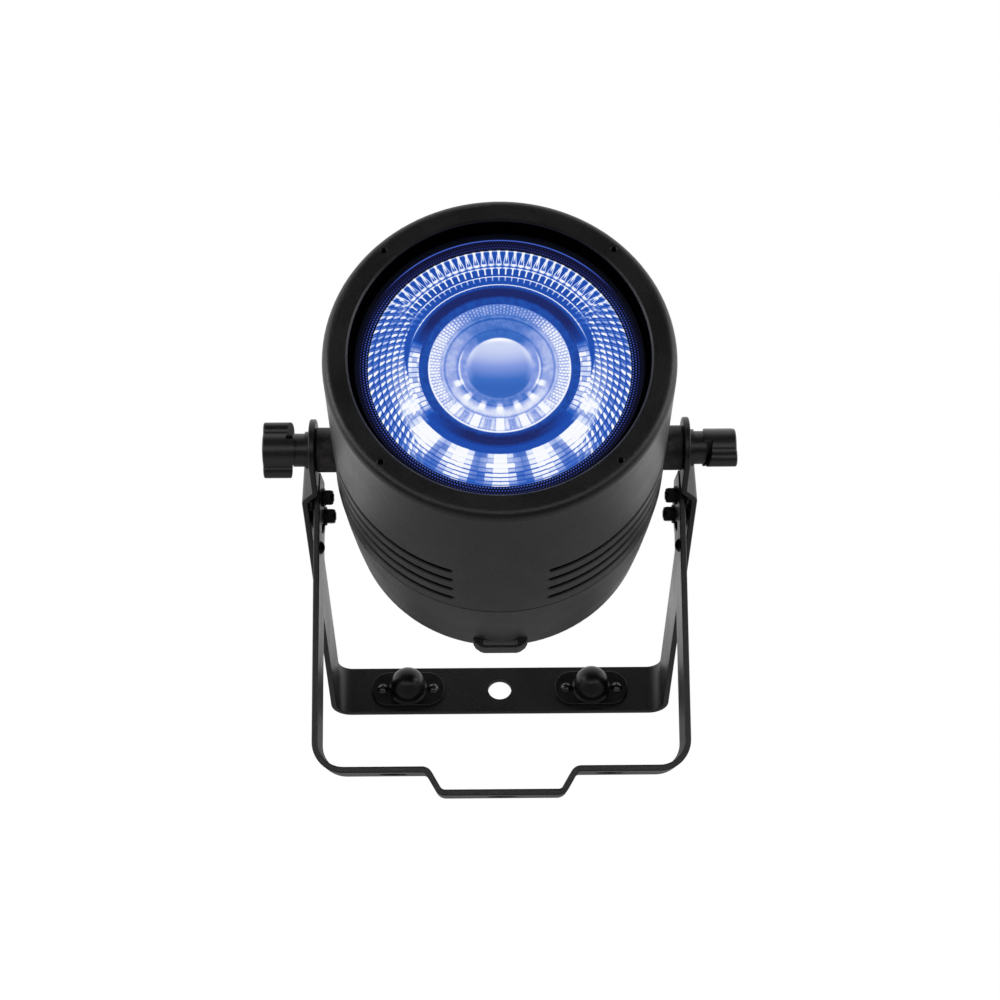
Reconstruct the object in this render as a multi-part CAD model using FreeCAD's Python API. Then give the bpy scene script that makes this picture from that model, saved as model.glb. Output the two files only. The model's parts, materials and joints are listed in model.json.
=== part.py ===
import FreeCAD, Part
import math
import os

# A stage par light: a drum-shaped LED head that tilts between the ears of a U-shaped rear
# bracket. A shorter front leg is bolted inside the rear bracket's arms, so the two stand
# on the floor as an inverted V. Units are mm and degrees, +Z is up and -Y is the front.
# Head parts are drawn with the light axis along Y and the tilt axis along X at y = 0.
# Bracket parts are drawn with their arms hanging straight down. Both are then turned into
# the standing pose, and the whole light is set down with its bounding box centred on Z.

# Stance
HEAD_TILT = 31.4
REAR_LEAN = 44.0
LEG_LEAN = 20.5

# Bracket strip
STRIP_T = 3.0
STRIP_W = 30.0
BRACKET_HOLE_R = 6.75

# Rear bracket: ears at the pivot, a jog outwards, straight arms and a flat base
EAR_OUTER_X = 91.8
REAR_OUTER_X = 96.5
REAR_SPLAY = 0.8
JOG_TOP = 16.5
JOG_END = 22.5
JOG_BEND_R = 4.0
REAR_LENGTH = 223.3
REAR_BEND_R = 9.5
EDGE_ROUND = 0.6

# Quick-lock receptacles on the rear base
LOCK_X = 53.0
RIVET_OUT = 14.6
RIVET_R = 1.6
RIVET_HEAD_R = 3.3
RIVET_HEAD_H = 2.2
DOME_R = 9.8
DOME_WALL = 1.2
DOME_STRAIGHT = 6.3
DOME_SKIRT = 1.2
FLANGE_L = 42.0
FLANGE_W = 22.4
FLANGE_T = 1.6
FLANGE_EDGE = 0.6
CAM_LIFT = 4.0

# Front leg: bolted inside the rear arms, with a dropped middle in its foot
LEG_OUTER_X = 91.9
LEG_BEND_R = 13.8
LEG_STEP = 11.2
LEG_STEP_TOP_X = 36.2
LEG_STEP_RUN = 6.5
LEG_STEP_BEND_R = 4.0
LEG_HOLE_X = 53.0
LEG_TOP = 10.5
BOLT_DOWN = 38.3
BOLT_GAP = 15.7
BOLT_R = 2.0
BOLT_HOLE_R = 2.06
SLOT_R = 2.35
SLOT_RIM = 4.2
LEG_OPENS_MORE = 6.0
STUD_DOWN = 27.0
NUT_FLATS = 7.0
NUT_T = 4.2
TOOTH_WASHER_R = 4.7
TOOTH_WASHER_T = 1.2

# Head shells, distances behind the bezel face. The front shell widens towards the seam.
FACE = 102.8
FACE_R = 78.0
SEAM_R = 80.3
WALL = 3.0
FACE_ROUND = 4.2
LIP_R = 67.5
LIP_THROAT_R = 64.2
LIP_DEPTH = 8.0
SEAM = 113.0
SEAM_GAP = 0.8
REAR_TAPER = [(0.0, 0.0), (22.0, 1.2), (44.0, 2.8)]
REAR_END = 184.0
REAR_R = 75.0
REAR_ROUND = 6.0
PANEL_R = 64.0
PANEL_S = 176.0
PANEL_T = 2.0

# Vent grooves: wrapped round the lower flanks of the front shell
GROOVES = 4
GROOVE_FIRST_S = 69.0
GROOVE_PITCH = 11.3
GROOVE_W = 3.0
GROOVE_FLARE = 0.9
GROOVE_LOW = 17.3
GROOVE_HIGH = 69.5

# Threaded holes in the bezel face
FACE_HOLE_PCR = 72.7
FACE_HOLE_R = 1.25
FACE_HOLE_DEPTH = 6.3
FACE_HOLE_CHAMFER = 0.35

# Safety-cable bridge under the rear shell
LOOP_S = 172.0
LOOP_W = 27.4
LOOP_FOOT = 5.0
LOOP_LENGTH = 9.0
LOOP_Z = -80.4
LOOP_SLOT_W = 17.4
LOOP_SLOT_H = 2.6
LOOP_BAR = 1.4
LOOP_SCREW_X = 10.9
LOOP_SCREW_R = 1.2
LOOP_SCREW_START = 3.3
LOOP_SCREW_LENGTH = 8.0

# Optics
GLASS_R = 70.0
GLASS_T = 3.0
GASKET_T = 1.0
OPTIC_R = 61.5
FACET_OUTER_R = 58.4
FACET_INNER_R = 39.0
CENTRE_LENS_R = 31.9
DOME_LENS_R = 15.1
OPTIC_S = LIP_DEPTH + GASKET_T + GLASS_T + 0.4
REFLECTOR_S = OPTIC_S + 11.7
LED_S = 50.0

# Pivot hardware, distances from the centre plane
BOSS_R = 10.9
BOSS_END_X = 88.7
SPIGOT_R = 6.0
STUD_R = 4.0
STUD_CLEAR = 0.06
STUD_START_X = 79.0
WASHER_R = 9.0
WASHER_X = 91.9
WASHER_T = 2.3
STEM_R = 8.1
STEM_START_X = 94.3
KNOB_START_X = 99.0
KNOB_END_X = 114.5
KNOB_HUB_R = 9.1
KNOB_TIP_R = 13.6
KNOB_WING_R = 4.4
KNOB_UNDERCUT = 5.0
KNOB_TIP_CUT = 5.5
LEFT_KNOB_TURN = 78.0
RIGHT_KNOB_TURN = 25.0

# Fan
FAN_S = 94.0
FAN_SIZE = 92.0
FAN_T = 25.0
FAN_BORE_R = 44.0
FAN_SCREW_OUT = 41.25
ROTOR_R = 42.6
HUB_R = 17.0
BLADES = 7

# Rear panel layout: (x, height above the light axis)
CONNECTOR_PLACES = {"dmx_in": (19.0, -4.0), "dmx_out": (-19.0, -4.0),
                    "power_in": (19.0, -39.0), "power_out": (-19.0, -39.0)}
CONNECTOR_R = 11.8
BUTTON_NAMES = ["menu_button", "up_button", "down_button", "enter_button"]
BUTTON_PITCH = 13.0
BUTTON_Z = 21.0
BUTTON_R = 3.5
BUTTON_PROUD = 1.8
DISPLAY_Z = 39.0
DISPLAY_W = 46.0
DISPLAY_H = 17.0
PANEL_SCREW_PCR = 60.0
PANEL_SCREW_ANGLES = (12, 78, 102, 168, 215, 325)

# Rear connectors
CORNER_SCREWS = [(-9.5, 12.0), (9.5, -12.0)]
CONNECTOR_FLANGE_T = 2.2
SOCKET_DEPTH = 13.0
BACK_LENGTH = 22.0
DMX_WELL_R = 9.3
PIN_CIRCLE_R = 4.6
PIN_ANGLES = (45, 135, 270)
LATCH_Z = 11.7

# Electronics
TRAY_S = 128.0
TRAY_R = 68.0
TRAY_T = 1.5
STANDOFF_H = 6.0
STANDOFF_X = 28.0
STANDOFF_Z = 38.0
BOARD_T = 1.6
LED_BOARD_W = 44.0

# Heat sink
SINK_R = 66.0
SINK_BASE_T = 6.0
SINK_DEPTH = 40.0
FINS = 15
FIN_PITCH = 8.4
FIN_T = 1.8

# Sizes that follow from the others
REAR_BASE_Z = -REAR_LENGTH - STRIP_T / 2
ARM_BOLT_X = REAR_OUTER_X + REAR_SPLAY * 0.9
SPREAD = REAR_LEAN + LEG_LEAN
REST_DROP = ((REAR_LENGTH + STRIP_T) * math.cos(math.radians(REAR_LEAN))
             + STRIP_W / 2 * math.sin(math.radians(REAR_LEAN)))
BOLT_DROP = BOLT_DOWN * math.cos(math.radians(REAR_LEAN))
LEG_LENGTH = ((REST_DROP - BOLT_DROP - STRIP_W / 2 * math.sin(math.radians(LEG_LEAN)))
              / math.cos(math.radians(LEG_LEAN)))

nodes = {}


def vec(x, y, z):
    return FreeCAD.Vector(x, y, z)


ORIGIN = vec(0, 0, 0)
X_AXIS = vec(1, 0, 0)
Y_AXIS = vec(0, 1, 0)
Z_AXIS = vec(0, 0, 1)


def unit(vector):
    return vector * (1.0 / vector.Length)


def joined(shapes):
    """One solid from touching or overlapping shapes."""
    return shapes[0].fuse(shapes[1:]).removeSplitter()


def group(shapes):
    """Separate solids that share one node."""
    return Part.makeCompound([solid for shape in shapes for solid in shape.Solids])


def mirrored(shape):
    return shape.mirror(ORIGIN, X_AXIS)


def as_drawn(shape):
    return shape


def turned_about(shape):
    """The same moulding on the -X side: half a turn about Z."""
    shape.rotate(ORIGIN, Z_AXIS, 180)
    return shape


def both_sides(shape):
    return [shape, mirrored(shape)]


def behind(distance):
    """Head Y of a plane that far behind the bezel face."""
    return distance - FACE


def turned(outline):
    """Solid of revolution about the light axis, from (distance behind the face, radius)."""
    points = [vec(radius, behind(distance), 0) for distance, radius in outline]
    face = Part.Face(Part.makePolygon(points + points[:1]))
    return face.revolve(ORIGIN, Y_AXIS, 360)


def ring(start, end, outer, inner=0.0, x=0.0, z=0.0):
    """Cylinder or tube along the light axis between two distances behind the face."""
    body = Part.makeCylinder(outer, end - start, vec(x, behind(start), z), Y_AXIS)
    if inner > 0:
        bore = Part.makeCylinder(inner, end - start + 2, vec(x, behind(start) - 1, z), Y_AXIS)
        body = body.cut(bore)
    return body


def slab(x, z, wide, high, start, end, corner=0.0):
    """Block across the light axis, centred on (x, z), between two distances behind the face."""
    box = Part.makeBox(wide, end - start, high, vec(x - wide / 2, behind(start), z - high / 2))
    if corner > 0:
        edges = [edge for edge in box.Edges if abs(edge.tangentAt(edge.FirstParameter).y) > 0.9]
        box = box.makeFillet(corner, edges)
    return box


def across(radius, x_start, x_end, y=0.0, z=0.0):
    """Cylinder along X between two distances from the centre plane, on the +X side."""
    return Part.makeCylinder(radius, x_end - x_start, vec(x_start, y, z), X_AXIS)


def hexagon(flats, x_start, x_end, y=0.0, z=0.0):
    """Hexagonal prism along X."""
    corner_r = flats / math.sqrt(3)
    angles = [math.radians(60 * step) for step in range(7)]
    points = [vec(x_start, y + corner_r * math.cos(angle),
                  z + corner_r * math.sin(angle)) for angle in angles]
    return Part.Face(Part.makePolygon(points)).extrude(vec(x_end - x_start, 0, 0))


def rounded(shape, radius, chosen):
    """Fillet every edge that the test chooses."""
    return shape.makeFillet(radius, [edge for edge in shape.Edges if chosen(edge)])


def shell_r(distance):
    """Outer radius of the front shell at a distance behind the face."""
    return FACE_R + (SEAM_R - FACE_R) * distance / SEAM


def is_circle(edge, radius, distance):
    """True for a circle of this radius round the light axis, at this distance behind the face."""
    curve = edge.Curve
    if not isinstance(curve, Part.Circle):
        return False
    return abs(curve.Radius - radius) < 0.01 and abs(curve.Center.y - behind(distance)) < 0.01


# ---- bent strip ----

def left_of(direction):
    return vec(-direction.z, 0, direction.x)


def strip_side(points, radii, offset):
    """Edges at an offset to the left of a mid-line in the XZ plane with rounded corners."""
    edges = []
    here = points[0] + left_of(unit(points[1] - points[0])) * offset
    for before, corner, after, radius in zip(points, points[1:], points[2:], radii):
        into = unit(corner - before)
        out = unit(after - corner)
        side = 1.0 if left_of(into).dot(out) > 0 else -1.0
        setback = radius * math.tan(into.getAngle(out) / 2)
        arc_r = radius - side * offset
        centre = corner - into * setback + left_of(into) * (side * radius)
        arc_start = centre - left_of(into) * (side * arc_r)
        arc_end = centre - left_of(out) * (side * arc_r)
        arc_middle = centre + unit(corner - centre) * arc_r
        edges.append(Part.LineSegment(here, arc_start).toShape())
        edges.append(Part.Arc(arc_start, arc_middle, arc_end).toShape())
        here = arc_end
    end = points[-1] + left_of(unit(points[-1] - points[-2])) * offset
    edges.append(Part.LineSegment(here, end).toShape())
    return edges


def bent_strip(right_half, radii, width):
    """Symmetric strip bent along a mid-line; the right half runs from its top to the base."""
    points = right_half + [vec(-point.x, 0, point.z) for point in reversed(right_half)]
    corner_radii = radii + radii[::-1]
    left = strip_side(points, corner_radii, STRIP_T / 2)
    right = strip_side(points, corner_radii, -STRIP_T / 2)
    caps = [Part.LineSegment(left[end].Vertexes[end].Point, right[end].Vertexes[end].Point).toShape()
            for end in (0, -1)]
    outline = Part.Wire(Part.__sortEdges__(left + right + caps))
    face = Part.Face(outline)
    face.translate(vec(0, -width / 2, 0))
    return face.extrude(vec(0, width, 0))


def soft_edges(strip):
    """Round the long edges of a bent strip, which lie across X."""
    long_edges = [edge for edge in strip.Edges if edge.BoundBox.YLength < 0.01 or edge.BoundBox.XLength < 0.01]
    thick = [edge for edge in long_edges if edge.Length < STRIP_T + 0.01]
    return strip.makeFillet(EDGE_ROUND, [edge for edge in long_edges if edge not in thick])


def side_disc(radius, z=0.0):
    return Part.makeCylinder(radius, 240, vec(-120, 0, z), X_AXIS)


def side_block(y_start, y_end, z_start, z_end):
    return Part.makeBox(240, y_end - y_start, z_end - z_start, vec(-120, y_start, z_start))


def down_hole(x, radius, z, y=0.0):
    """Vertical drill through a bracket's foot."""
    return Part.makeCylinder(radius, 12, vec(x, y, z - 6), Z_AXIS)


# ---- rear bracket and what is fixed to it ----


def stand_rear(shape):
    """Turn from hanging straight down to the rear bracket's lean."""
    shape.rotate(ORIGIN, X_AXIS, REAR_LEAN)
    return shape


def countersunk_hole(z):
    """Drill and cone for a flush screw, from outside an arm of the rear bracket."""
    hole = across(BOLT_HOLE_R, ARM_BOLT_X - 5, ARM_BOLT_X + 1, 0, z)
    cone = Part.makeCone(BOLT_R, 4.3, 2.3, vec(ARM_BOLT_X - 2.3, 0, z), X_AXIS)
    return hole.fuse(cone)


def rear_bracket():
    ear_x = EAR_OUTER_X - STRIP_T / 2
    arm_x = REAR_OUTER_X - STRIP_T / 2
    half = STRIP_W / 2
    half_path = [vec(ear_x, 0, half), vec(ear_x, 0, -JOG_TOP), vec(arm_x + REAR_SPLAY, 0, -JOG_END),
                 vec(arm_x, 0, REAR_BASE_Z)]
    body = bent_strip(half_path, [JOG_BEND_R, JOG_BEND_R, REAR_BEND_R], STRIP_W)
    side_view = joined([side_disc(half), side_block(-half, half, REAR_BASE_Z - 10, 0)])
    body = soft_edges(body.common(side_view))
    cuts = [down_hole(0, BRACKET_HOLE_R, REAR_BASE_Z)]
    for side in (-1, 1):
        cuts.append(down_hole(side * LOCK_X, BRACKET_HOLE_R, REAR_BASE_Z))
        cuts.append(down_hole(side * LOCK_X - RIVET_OUT, RIVET_R, REAR_BASE_Z))
        cuts.append(down_hole(side * LOCK_X + RIVET_OUT, RIVET_R, REAR_BASE_Z))
    cuts += both_sides(across(STUD_R + STUD_CLEAR, EAR_OUTER_X - 5, EAR_OUTER_X + 1))
    for down in (BOLT_DOWN, BOLT_DOWN + BOLT_GAP):
        cuts += both_sides(countersunk_hole(-down))
    return stand_rear(body.cut(cuts))


def quick_lock(x):
    """Domed cover with a skirt and an oblong flange, open below for the quarter-turn stud."""
    top = REAR_BASE_Z + STRIP_T / 2
    flange = Part.makeBox(FLANGE_L, FLANGE_W, FLANGE_T, vec(x - FLANGE_L / 2, -FLANGE_W / 2, top))
    upright = [edge for edge in flange.Edges if abs(edge.tangentAt(edge.FirstParameter).z) > 0.9]
    flange = flange.makeFillet(FLANGE_W / 2 - 1, upright)
    flange = rounded(flange, FLANGE_EDGE, lambda edge: edge.BoundBox.ZMin > top + FLANGE_T - 0.01)
    shoulder = top + DOME_STRAIGHT
    barrel = Part.makeCylinder(DOME_R, DOME_STRAIGHT, vec(x, 0, top), Z_AXIS)
    skirt = Part.makeCone(DOME_R + DOME_SKIRT, DOME_R, DOME_SKIRT, vec(x, 0, top + FLANGE_T), Z_AXIS)
    cap = Part.makeSphere(DOME_R, vec(x, 0, shoulder), Z_AXIS, 0, 90, 360)
    inner_r = DOME_R - DOME_WALL
    hollow = Part.makeCylinder(inner_r, DOME_STRAIGHT + 1, vec(x, 0, top - 1), Z_AXIS)
    hollow_cap = Part.makeSphere(inner_r, vec(x, 0, shoulder), Z_AXIS, 0, 90, 360)
    body = joined([flange, barrel, skirt, cap]).cut([hollow, hollow_cap])
    body = body.cut([down_hole(x - RIVET_OUT, RIVET_R, top), down_hole(x + RIVET_OUT, RIVET_R, top)])
    return stand_rear(body)


def quick_lock_cams():
    """Slotted plates inside the domes that the quarter-turn studs catch on."""
    top = REAR_BASE_Z + STRIP_T / 2
    cams = []
    for side in (-1, 1):
        disc = Part.makeCylinder(DOME_R - DOME_WALL, 1.5, vec(side * LOCK_X, 0, top + CAM_LIFT), Z_AXIS)
        slot = Part.makeBox(12, 3.2, 4, vec(side * LOCK_X - 6, -1.6, top + CAM_LIFT - 1))
        cams.append(disc.cut(slot))
    return stand_rear(group(cams))


def quick_lock_rivets():
    """Dome-headed cross-slot screws, two for each receptacle."""
    top = REAR_BASE_Z + STRIP_T / 2 + FLANGE_T
    rivets = []
    for side in (-1, 1):
        for out in (-RIVET_OUT, RIVET_OUT):
            x = side * LOCK_X + out
            shank = Part.makeCylinder(RIVET_R, STRIP_T + FLANGE_T, vec(x, 0, top - STRIP_T - FLANGE_T),
                                      Z_AXIS)
            ball_r = (RIVET_HEAD_R ** 2 + RIVET_HEAD_H ** 2) / (2 * RIVET_HEAD_H)
            ball = Part.makeSphere(ball_r, vec(x, 0, top + RIVET_HEAD_H - ball_r))
            head = ball.common(Part.makeCylinder(RIVET_HEAD_R + 1, 4, vec(x, 0, top), Z_AXIS))
            slots = [Part.makeBox(3.4, 0.7, 2, vec(x - 1.7, -0.35, top + RIVET_HEAD_H - 0.8)),
                     Part.makeBox(0.7, 3.4, 2, vec(x - 0.35, -1.7, top + RIVET_HEAD_H - 0.8))]
            rivets.append(joined([shank, head]).cut(slots))
    return stand_rear(group(rivets))


def leg_screw(z):
    """Countersunk M4 screw from outside the rear arm to its nut inside the leg."""
    inner_end = LEG_OUTER_X - STRIP_T - TOOTH_WASHER_T - NUT_T - 0.4
    shank = across(BOLT_R, inner_end, ARM_BOLT_X - 0.1, 0, z)
    head = Part.makeCone(BOLT_R, 4.1, 2.1, vec(ARM_BOLT_X - 2.2, 0, z), X_AXIS)
    socket = hexagon(2.5, ARM_BOLT_X - 1.5, ARM_BOLT_X + 1, 0, z)
    return joined([shank, head]).cut(socket)


def leg_stack(make):
    """The same small part on both leg screws of both sides."""
    pieces = []
    for down in (BOLT_DOWN, BOLT_DOWN + BOLT_GAP):
        pieces += both_sides(make(-down))
    return stand_rear(group(pieces))


def leg_nut(z):
    outer = LEG_OUTER_X - STRIP_T - TOOTH_WASHER_T
    nut = hexagon(NUT_FLATS, outer - NUT_T, outer, 0, z)
    chamfer = Part.makeCone(NUT_FLATS * 0.46, NUT_FLATS * 0.80, NUT_T, vec(outer - NUT_T, 0, z), X_AXIS)
    return nut.common(chamfer).cut(across(BOLT_R, outer - NUT_T - 1, outer + 1, 0, z))


def leg_tooth_washer(z):
    """External-tooth lock washer under a nut."""
    outer = LEG_OUTER_X - STRIP_T
    disc = across(TOOTH_WASHER_R, outer - TOOTH_WASHER_T, outer, 0, z)
    notches = [across(BOLT_R + 0.1, outer - TOOTH_WASHER_T - 1, outer + 1, 0, z)]
    for tooth in range(10):
        angle = math.radians(36 * tooth)
        notch = Part.makeBox(4, 0.9, 1.6, vec(outer - 3, -0.45, TOOTH_WASHER_R - 1.3))
        notch.rotate(ORIGIN, X_AXIS, math.degrees(angle))
        notch.translate(vec(0, 0, z))
        notches.append(notch)
    return disc.cut(notches)


def leg_spacer(z):
    """Flat spacer that fills the gap between the rear arm and the leg."""
    start = LEG_OUTER_X
    end = ARM_BOLT_X - STRIP_T - 0.3
    return across(5.5, start, end, 0, z).cut(across(BOLT_R + 0.1, start - 1, end + 1, 0, z))


# ---- front leg ----

def stand_leg(shape):
    """Turn the leg forward about its own bolt and set it at the bolt's place."""
    shape.rotate(ORIGIN, X_AXIS, -LEG_LEAN)
    lean = math.radians(REAR_LEAN)
    shape.translate(vec(0, BOLT_DOWN * math.sin(lean), -BOLT_DOWN * math.cos(lean)))
    return shape


def leg_slot():
    """Curved slot for the lower screw, centred on the upper one, through both arms."""
    sweep = SPREAD + LEG_OPENS_MORE
    margin = 1.0
    centre_angle = (sweep / 2 - 90)
    half_sweep = sweep / 2 + margin
    tube = side_disc(BOLT_GAP + SLOT_R).cut(side_disc(BOLT_GAP - SLOT_R))
    reach = 60
    wedge_points = [ORIGIN]
    for side in (-1, 0, 1):
        angle = math.radians(centre_angle + side * half_sweep)
        wedge_points.append(vec(0, reach * math.cos(angle), reach * math.sin(angle)))
    wedge = Part.Face(Part.makePolygon(wedge_points + [ORIGIN])).extrude(vec(240, 0, 0))
    wedge.translate(vec(-120, 0, 0))
    pieces = [tube.common(wedge)]
    for side in (-1, 1):
        angle = math.radians(centre_angle + side * half_sweep)
        end = side_disc(SLOT_R)
        end.translate(vec(0, BOLT_GAP * math.cos(angle), BOLT_GAP * math.sin(angle)))
        pieces.append(end)
    return joined(pieces)


def front_bracket():
    arm_x = LEG_OUTER_X - STRIP_T / 2
    low_z = -LEG_LENGTH + STRIP_T / 2
    high_z = low_z + LEG_STEP
    half = STRIP_W / 2
    half_path = [vec(arm_x, 0, LEG_TOP), vec(arm_x, 0, high_z), vec(LEG_STEP_TOP_X, 0, high_z),
                 vec(LEG_STEP_TOP_X - LEG_STEP_RUN, 0, low_z)]
    lobe_r = BOLT_GAP + SLOT_R + SLOT_RIM
    body = bent_strip(half_path, [LEG_BEND_R, LEG_STEP_BEND_R, LEG_STEP_BEND_R], 2 * lobe_r)
    lobe = side_disc(lobe_r).common(side_block(0, lobe_r, -lobe_r, 7.0))
    side_view = joined([side_disc(half), side_block(-half, half, -LEG_LENGTH - 5, 0), lobe])
    body = soft_edges(body.common(side_view))
    cuts = both_sides(across(BOLT_HOLE_R, LEG_OUTER_X - 5, LEG_OUTER_X + 1))
    cuts.append(leg_slot())
    cuts.append(down_hole(0, BRACKET_HOLE_R, low_z))
    cuts.append(down_hole(-LEG_HOLE_X, BRACKET_HOLE_R, high_z))
    cuts.append(down_hole(LEG_HOLE_X, BRACKET_HOLE_R, high_z))
    return stand_leg(body.cut(cuts))


def leg_studs():
    """Small round-headed studs pressed into the inner side of the leg's arms."""
    inner_x = LEG_OUTER_X - STRIP_T
    dome = Part.makeSphere(4.0, vec(inner_x + 1.8, -8.0, -STUD_DOWN))
    dome = dome.common(Part.makeBox(6, 20, 20, vec(inner_x - 6, -18, -STUD_DOWN - 10)))
    return stand_leg(group(both_sides(dome)))


# ---- head shells ----

def tilt_head(shape):
    shape.rotate(ORIGIN, X_AXIS, -HEAD_TILT)
    return shape


def groove(distance):
    """One vent groove: a slot through the wall with a flared rim, rounded at both ends."""
    half = GROOVE_W / 2
    outer = shell_r(distance)
    inner = outer - WALL - 1
    flare = GROOVE_FLARE
    section = [(distance - half, inner), (distance + half, inner), (distance + half, outer - flare),
               (distance + half + 2 * flare, outer + flare), (distance - half - 2 * flare, outer + flare),
               (distance - half, outer - flare)]
    points = [vec(0, behind(place), -radius) for place, radius in section]
    face = Part.Face(Part.makePolygon(points + points[:1]))
    face.rotate(ORIGIN, Y_AXIS, -GROOVE_LOW)
    sector = face.revolve(ORIGIN, Y_AXIS, -(GROOVE_HIGH - GROOVE_LOW))
    pieces = [sector]
    for angle in (GROOVE_LOW, GROOVE_HIGH):
        down = vec(0, 0, -1)
        drill = Part.makeCylinder(half, WALL + 2, vec(0, behind(distance), -inner), down)
        rim = Part.makeCone(half, half + 2 * flare, 2 * flare, vec(0, behind(distance), -(outer - flare)),
                            down)
        end = drill.fuse(rim)
        end.rotate(ORIGIN, Y_AXIS, -angle)
        pieces.append(end)
    return joined(pieces)


def face_holes():
    holes = []
    for corner in range(4):
        angle = math.radians(45 + 90 * corner)
        x = FACE_HOLE_PCR * math.cos(angle)
        z = FACE_HOLE_PCR * math.sin(angle)
        holes.append(ring(-1, FACE_HOLE_DEPTH, FACE_HOLE_R, 0, x, z))
        wide = FACE_HOLE_R + FACE_HOLE_CHAMFER
        holes.append(Part.makeCone(wide, FACE_HOLE_R, FACE_HOLE_CHAMFER, vec(x, behind(0), z), Y_AXIS))
    return holes


def front_housing():
    body = turned([(0, LIP_R), (0, FACE_R), (SEAM, SEAM_R), (SEAM, SEAM_R - WALL),
                   (LIP_DEPTH, FACE_R - WALL), (LIP_DEPTH, LIP_THROAT_R), (0.8, LIP_R - 0.8)])
    body = rounded(body, FACE_ROUND, lambda edge: is_circle(edge, FACE_R, 0))
    cuts = face_holes()
    for index in range(GROOVES):
        cuts += both_sides(groove(GROOVE_FIRST_S + index * GROOVE_PITCH))
    cuts += both_sides(across(SPIGOT_R + 0.1, FACE_R - 12, SEAM_R + 3))
    return tilt_head(body.cut(cuts))


def rear_housing():
    start = SEAM + SEAM_GAP
    spigot_r = SEAM_R - WALL - 0.2
    inner = REAR_R - 4.0
    outside = [(start + along, SEAM_R - drop) for along, drop in REAR_TAPER] + [(REAR_END, REAR_R)]
    inside = [(REAR_END, PANEL_R + 1.5), (PANEL_S + PANEL_T, PANEL_R + 0.3), (PANEL_S, PANEL_R + 0.3),
              (PANEL_S, PANEL_R - 4), (PANEL_S - 3, PANEL_R - 4), (PANEL_S - 8, inner),
              (start + 40, spigot_r - 5.0), (start - 2.4, spigot_r - 2.5), (start - 2.4, spigot_r),
              (start, spigot_r)]
    body = turned(outside + inside)
    body = rounded(body, REAR_ROUND, lambda edge: is_circle(edge, REAR_R, REAR_END))
    return tilt_head(body.cut(loop_screw_holes(LOOP_SCREW_R + 0.1)))


def loop_screw_holes(radius):
    """Screws that come from inside the shell and end in the bridge's feet."""
    start = LOOP_Z + LOOP_SCREW_START
    return [Part.makeCylinder(radius, LOOP_SCREW_LENGTH, vec(side * LOOP_SCREW_X, behind(LOOP_S), start),
                              Z_AXIS)
            for side in (-1, 1)]


def safety_loop():
    """Low bridge for the safety cable under the rear shell; the cable passes along the light axis."""
    half = LOOP_W / 2
    flat = half - LOOP_FOOT
    points = [(-half, 4.6), (-half + 1.2, 2.4), (-flat - 1.2, 0.5), (-flat + 0.6, 0),
              (flat - 0.6, 0), (flat + 1.2, 0.5), (half - 1.2, 2.4), (half, 4.6), (half, 9), (-half, 9)]
    outline = [vec(x, behind(LOOP_S - LOOP_LENGTH / 2), LOOP_Z + z) for x, z in points]
    body = Part.Face(Part.makePolygon(outline + outline[:1])).extrude(vec(0, LOOP_LENGTH, 0))
    slot_z = LOOP_Z + LOOP_BAR + LOOP_SLOT_H / 2
    slot = slab(0, slot_z, LOOP_SLOT_W, LOOP_SLOT_H, LOOP_S - LOOP_LENGTH, LOOP_S + LOOP_LENGTH, 1.0)
    start = SEAM + SEAM_GAP
    taper = [(start + along, SEAM_R - drop + 0.05) for along, drop in REAR_TAPER]
    shell = turned([(start, 0)] + taper + [(REAR_END, REAR_R + 0.05), (REAR_END, 0)])
    return tilt_head(body.cut([shell, slot] + loop_screw_holes(LOOP_SCREW_R + 0.1)))


def loop_screws():
    return tilt_head(group(loop_screw_holes(LOOP_SCREW_R)))


def boss():
    """Pivot boss on the +X flank: a saddle on the shell with a spigot through its wall."""
    core = turned([(60, 0), (60, shell_r(60) + 0.02), (SEAM + 5, shell_r(SEAM + 5) + 0.02), (SEAM + 5, 0)])
    pad = across(BOSS_R, SEAM_R - 5, BOSS_END_X).cut(core)
    spigot = across(SPIGOT_R, SEAM_R - 9, SEAM_R + 2)
    bore = across(STUD_R + STUD_CLEAR, SEAM_R - 12, BOSS_END_X + 1)
    body = joined([pad, spigot])
    body = rounded(body, 0.8, lambda edge: isinstance(edge.Curve, Part.Circle)
                   and abs(edge.Curve.Radius - BOSS_R) < 0.01)
    return body.cut(bore)


def boss_nut():
    """Flat ring nut that holds the boss from inside the shell."""
    start = SEAM_R - WALL - 5.6
    body = hexagon(14, start, start + 4, 0, 0)
    return body.cut(across(SPIGOT_R, start - 1, start + 5))


# ---- optics ----

def front_glass():
    start = LIP_DEPTH + GASKET_T
    return tilt_head(ring(start, start + GLASS_T, GLASS_R))


def glass_gasket():
    return tilt_head(ring(LIP_DEPTH, LIP_DEPTH + GASKET_T, GLASS_R, LIP_THROAT_R + 0.4))


def optic_holder():
    """Ring that clamps the glass and carries the moulded optic."""
    start = LIP_DEPTH + GASKET_T + GLASS_T
    return tilt_head(turned([(start, OPTIC_R + 0.3), (start, FACE_R - WALL - 0.4), (start + 12,
                                                                                    FACE_R - WALL - 0.4),
                             (start + 12, OPTIC_R - 4), (start + 9, OPTIC_R - 4), (start + 9,
                                                                                   OPTIC_R + 0.3)]))


def facet_lens():
    """Outer moulded ring of the optic, ribbed in front, as a shallow cone."""
    return tilt_head(turned([(OPTIC_S, OPTIC_R), (OPTIC_S, FACET_OUTER_R), (OPTIC_S + 1.2, FACET_INNER_R),
                             (OPTIC_S + 1.6, CENTRE_LENS_R + 0.3), (OPTIC_S + 5, CENTRE_LENS_R + 0.3),
                             (OPTIC_S + 5, OPTIC_R)]))


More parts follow.
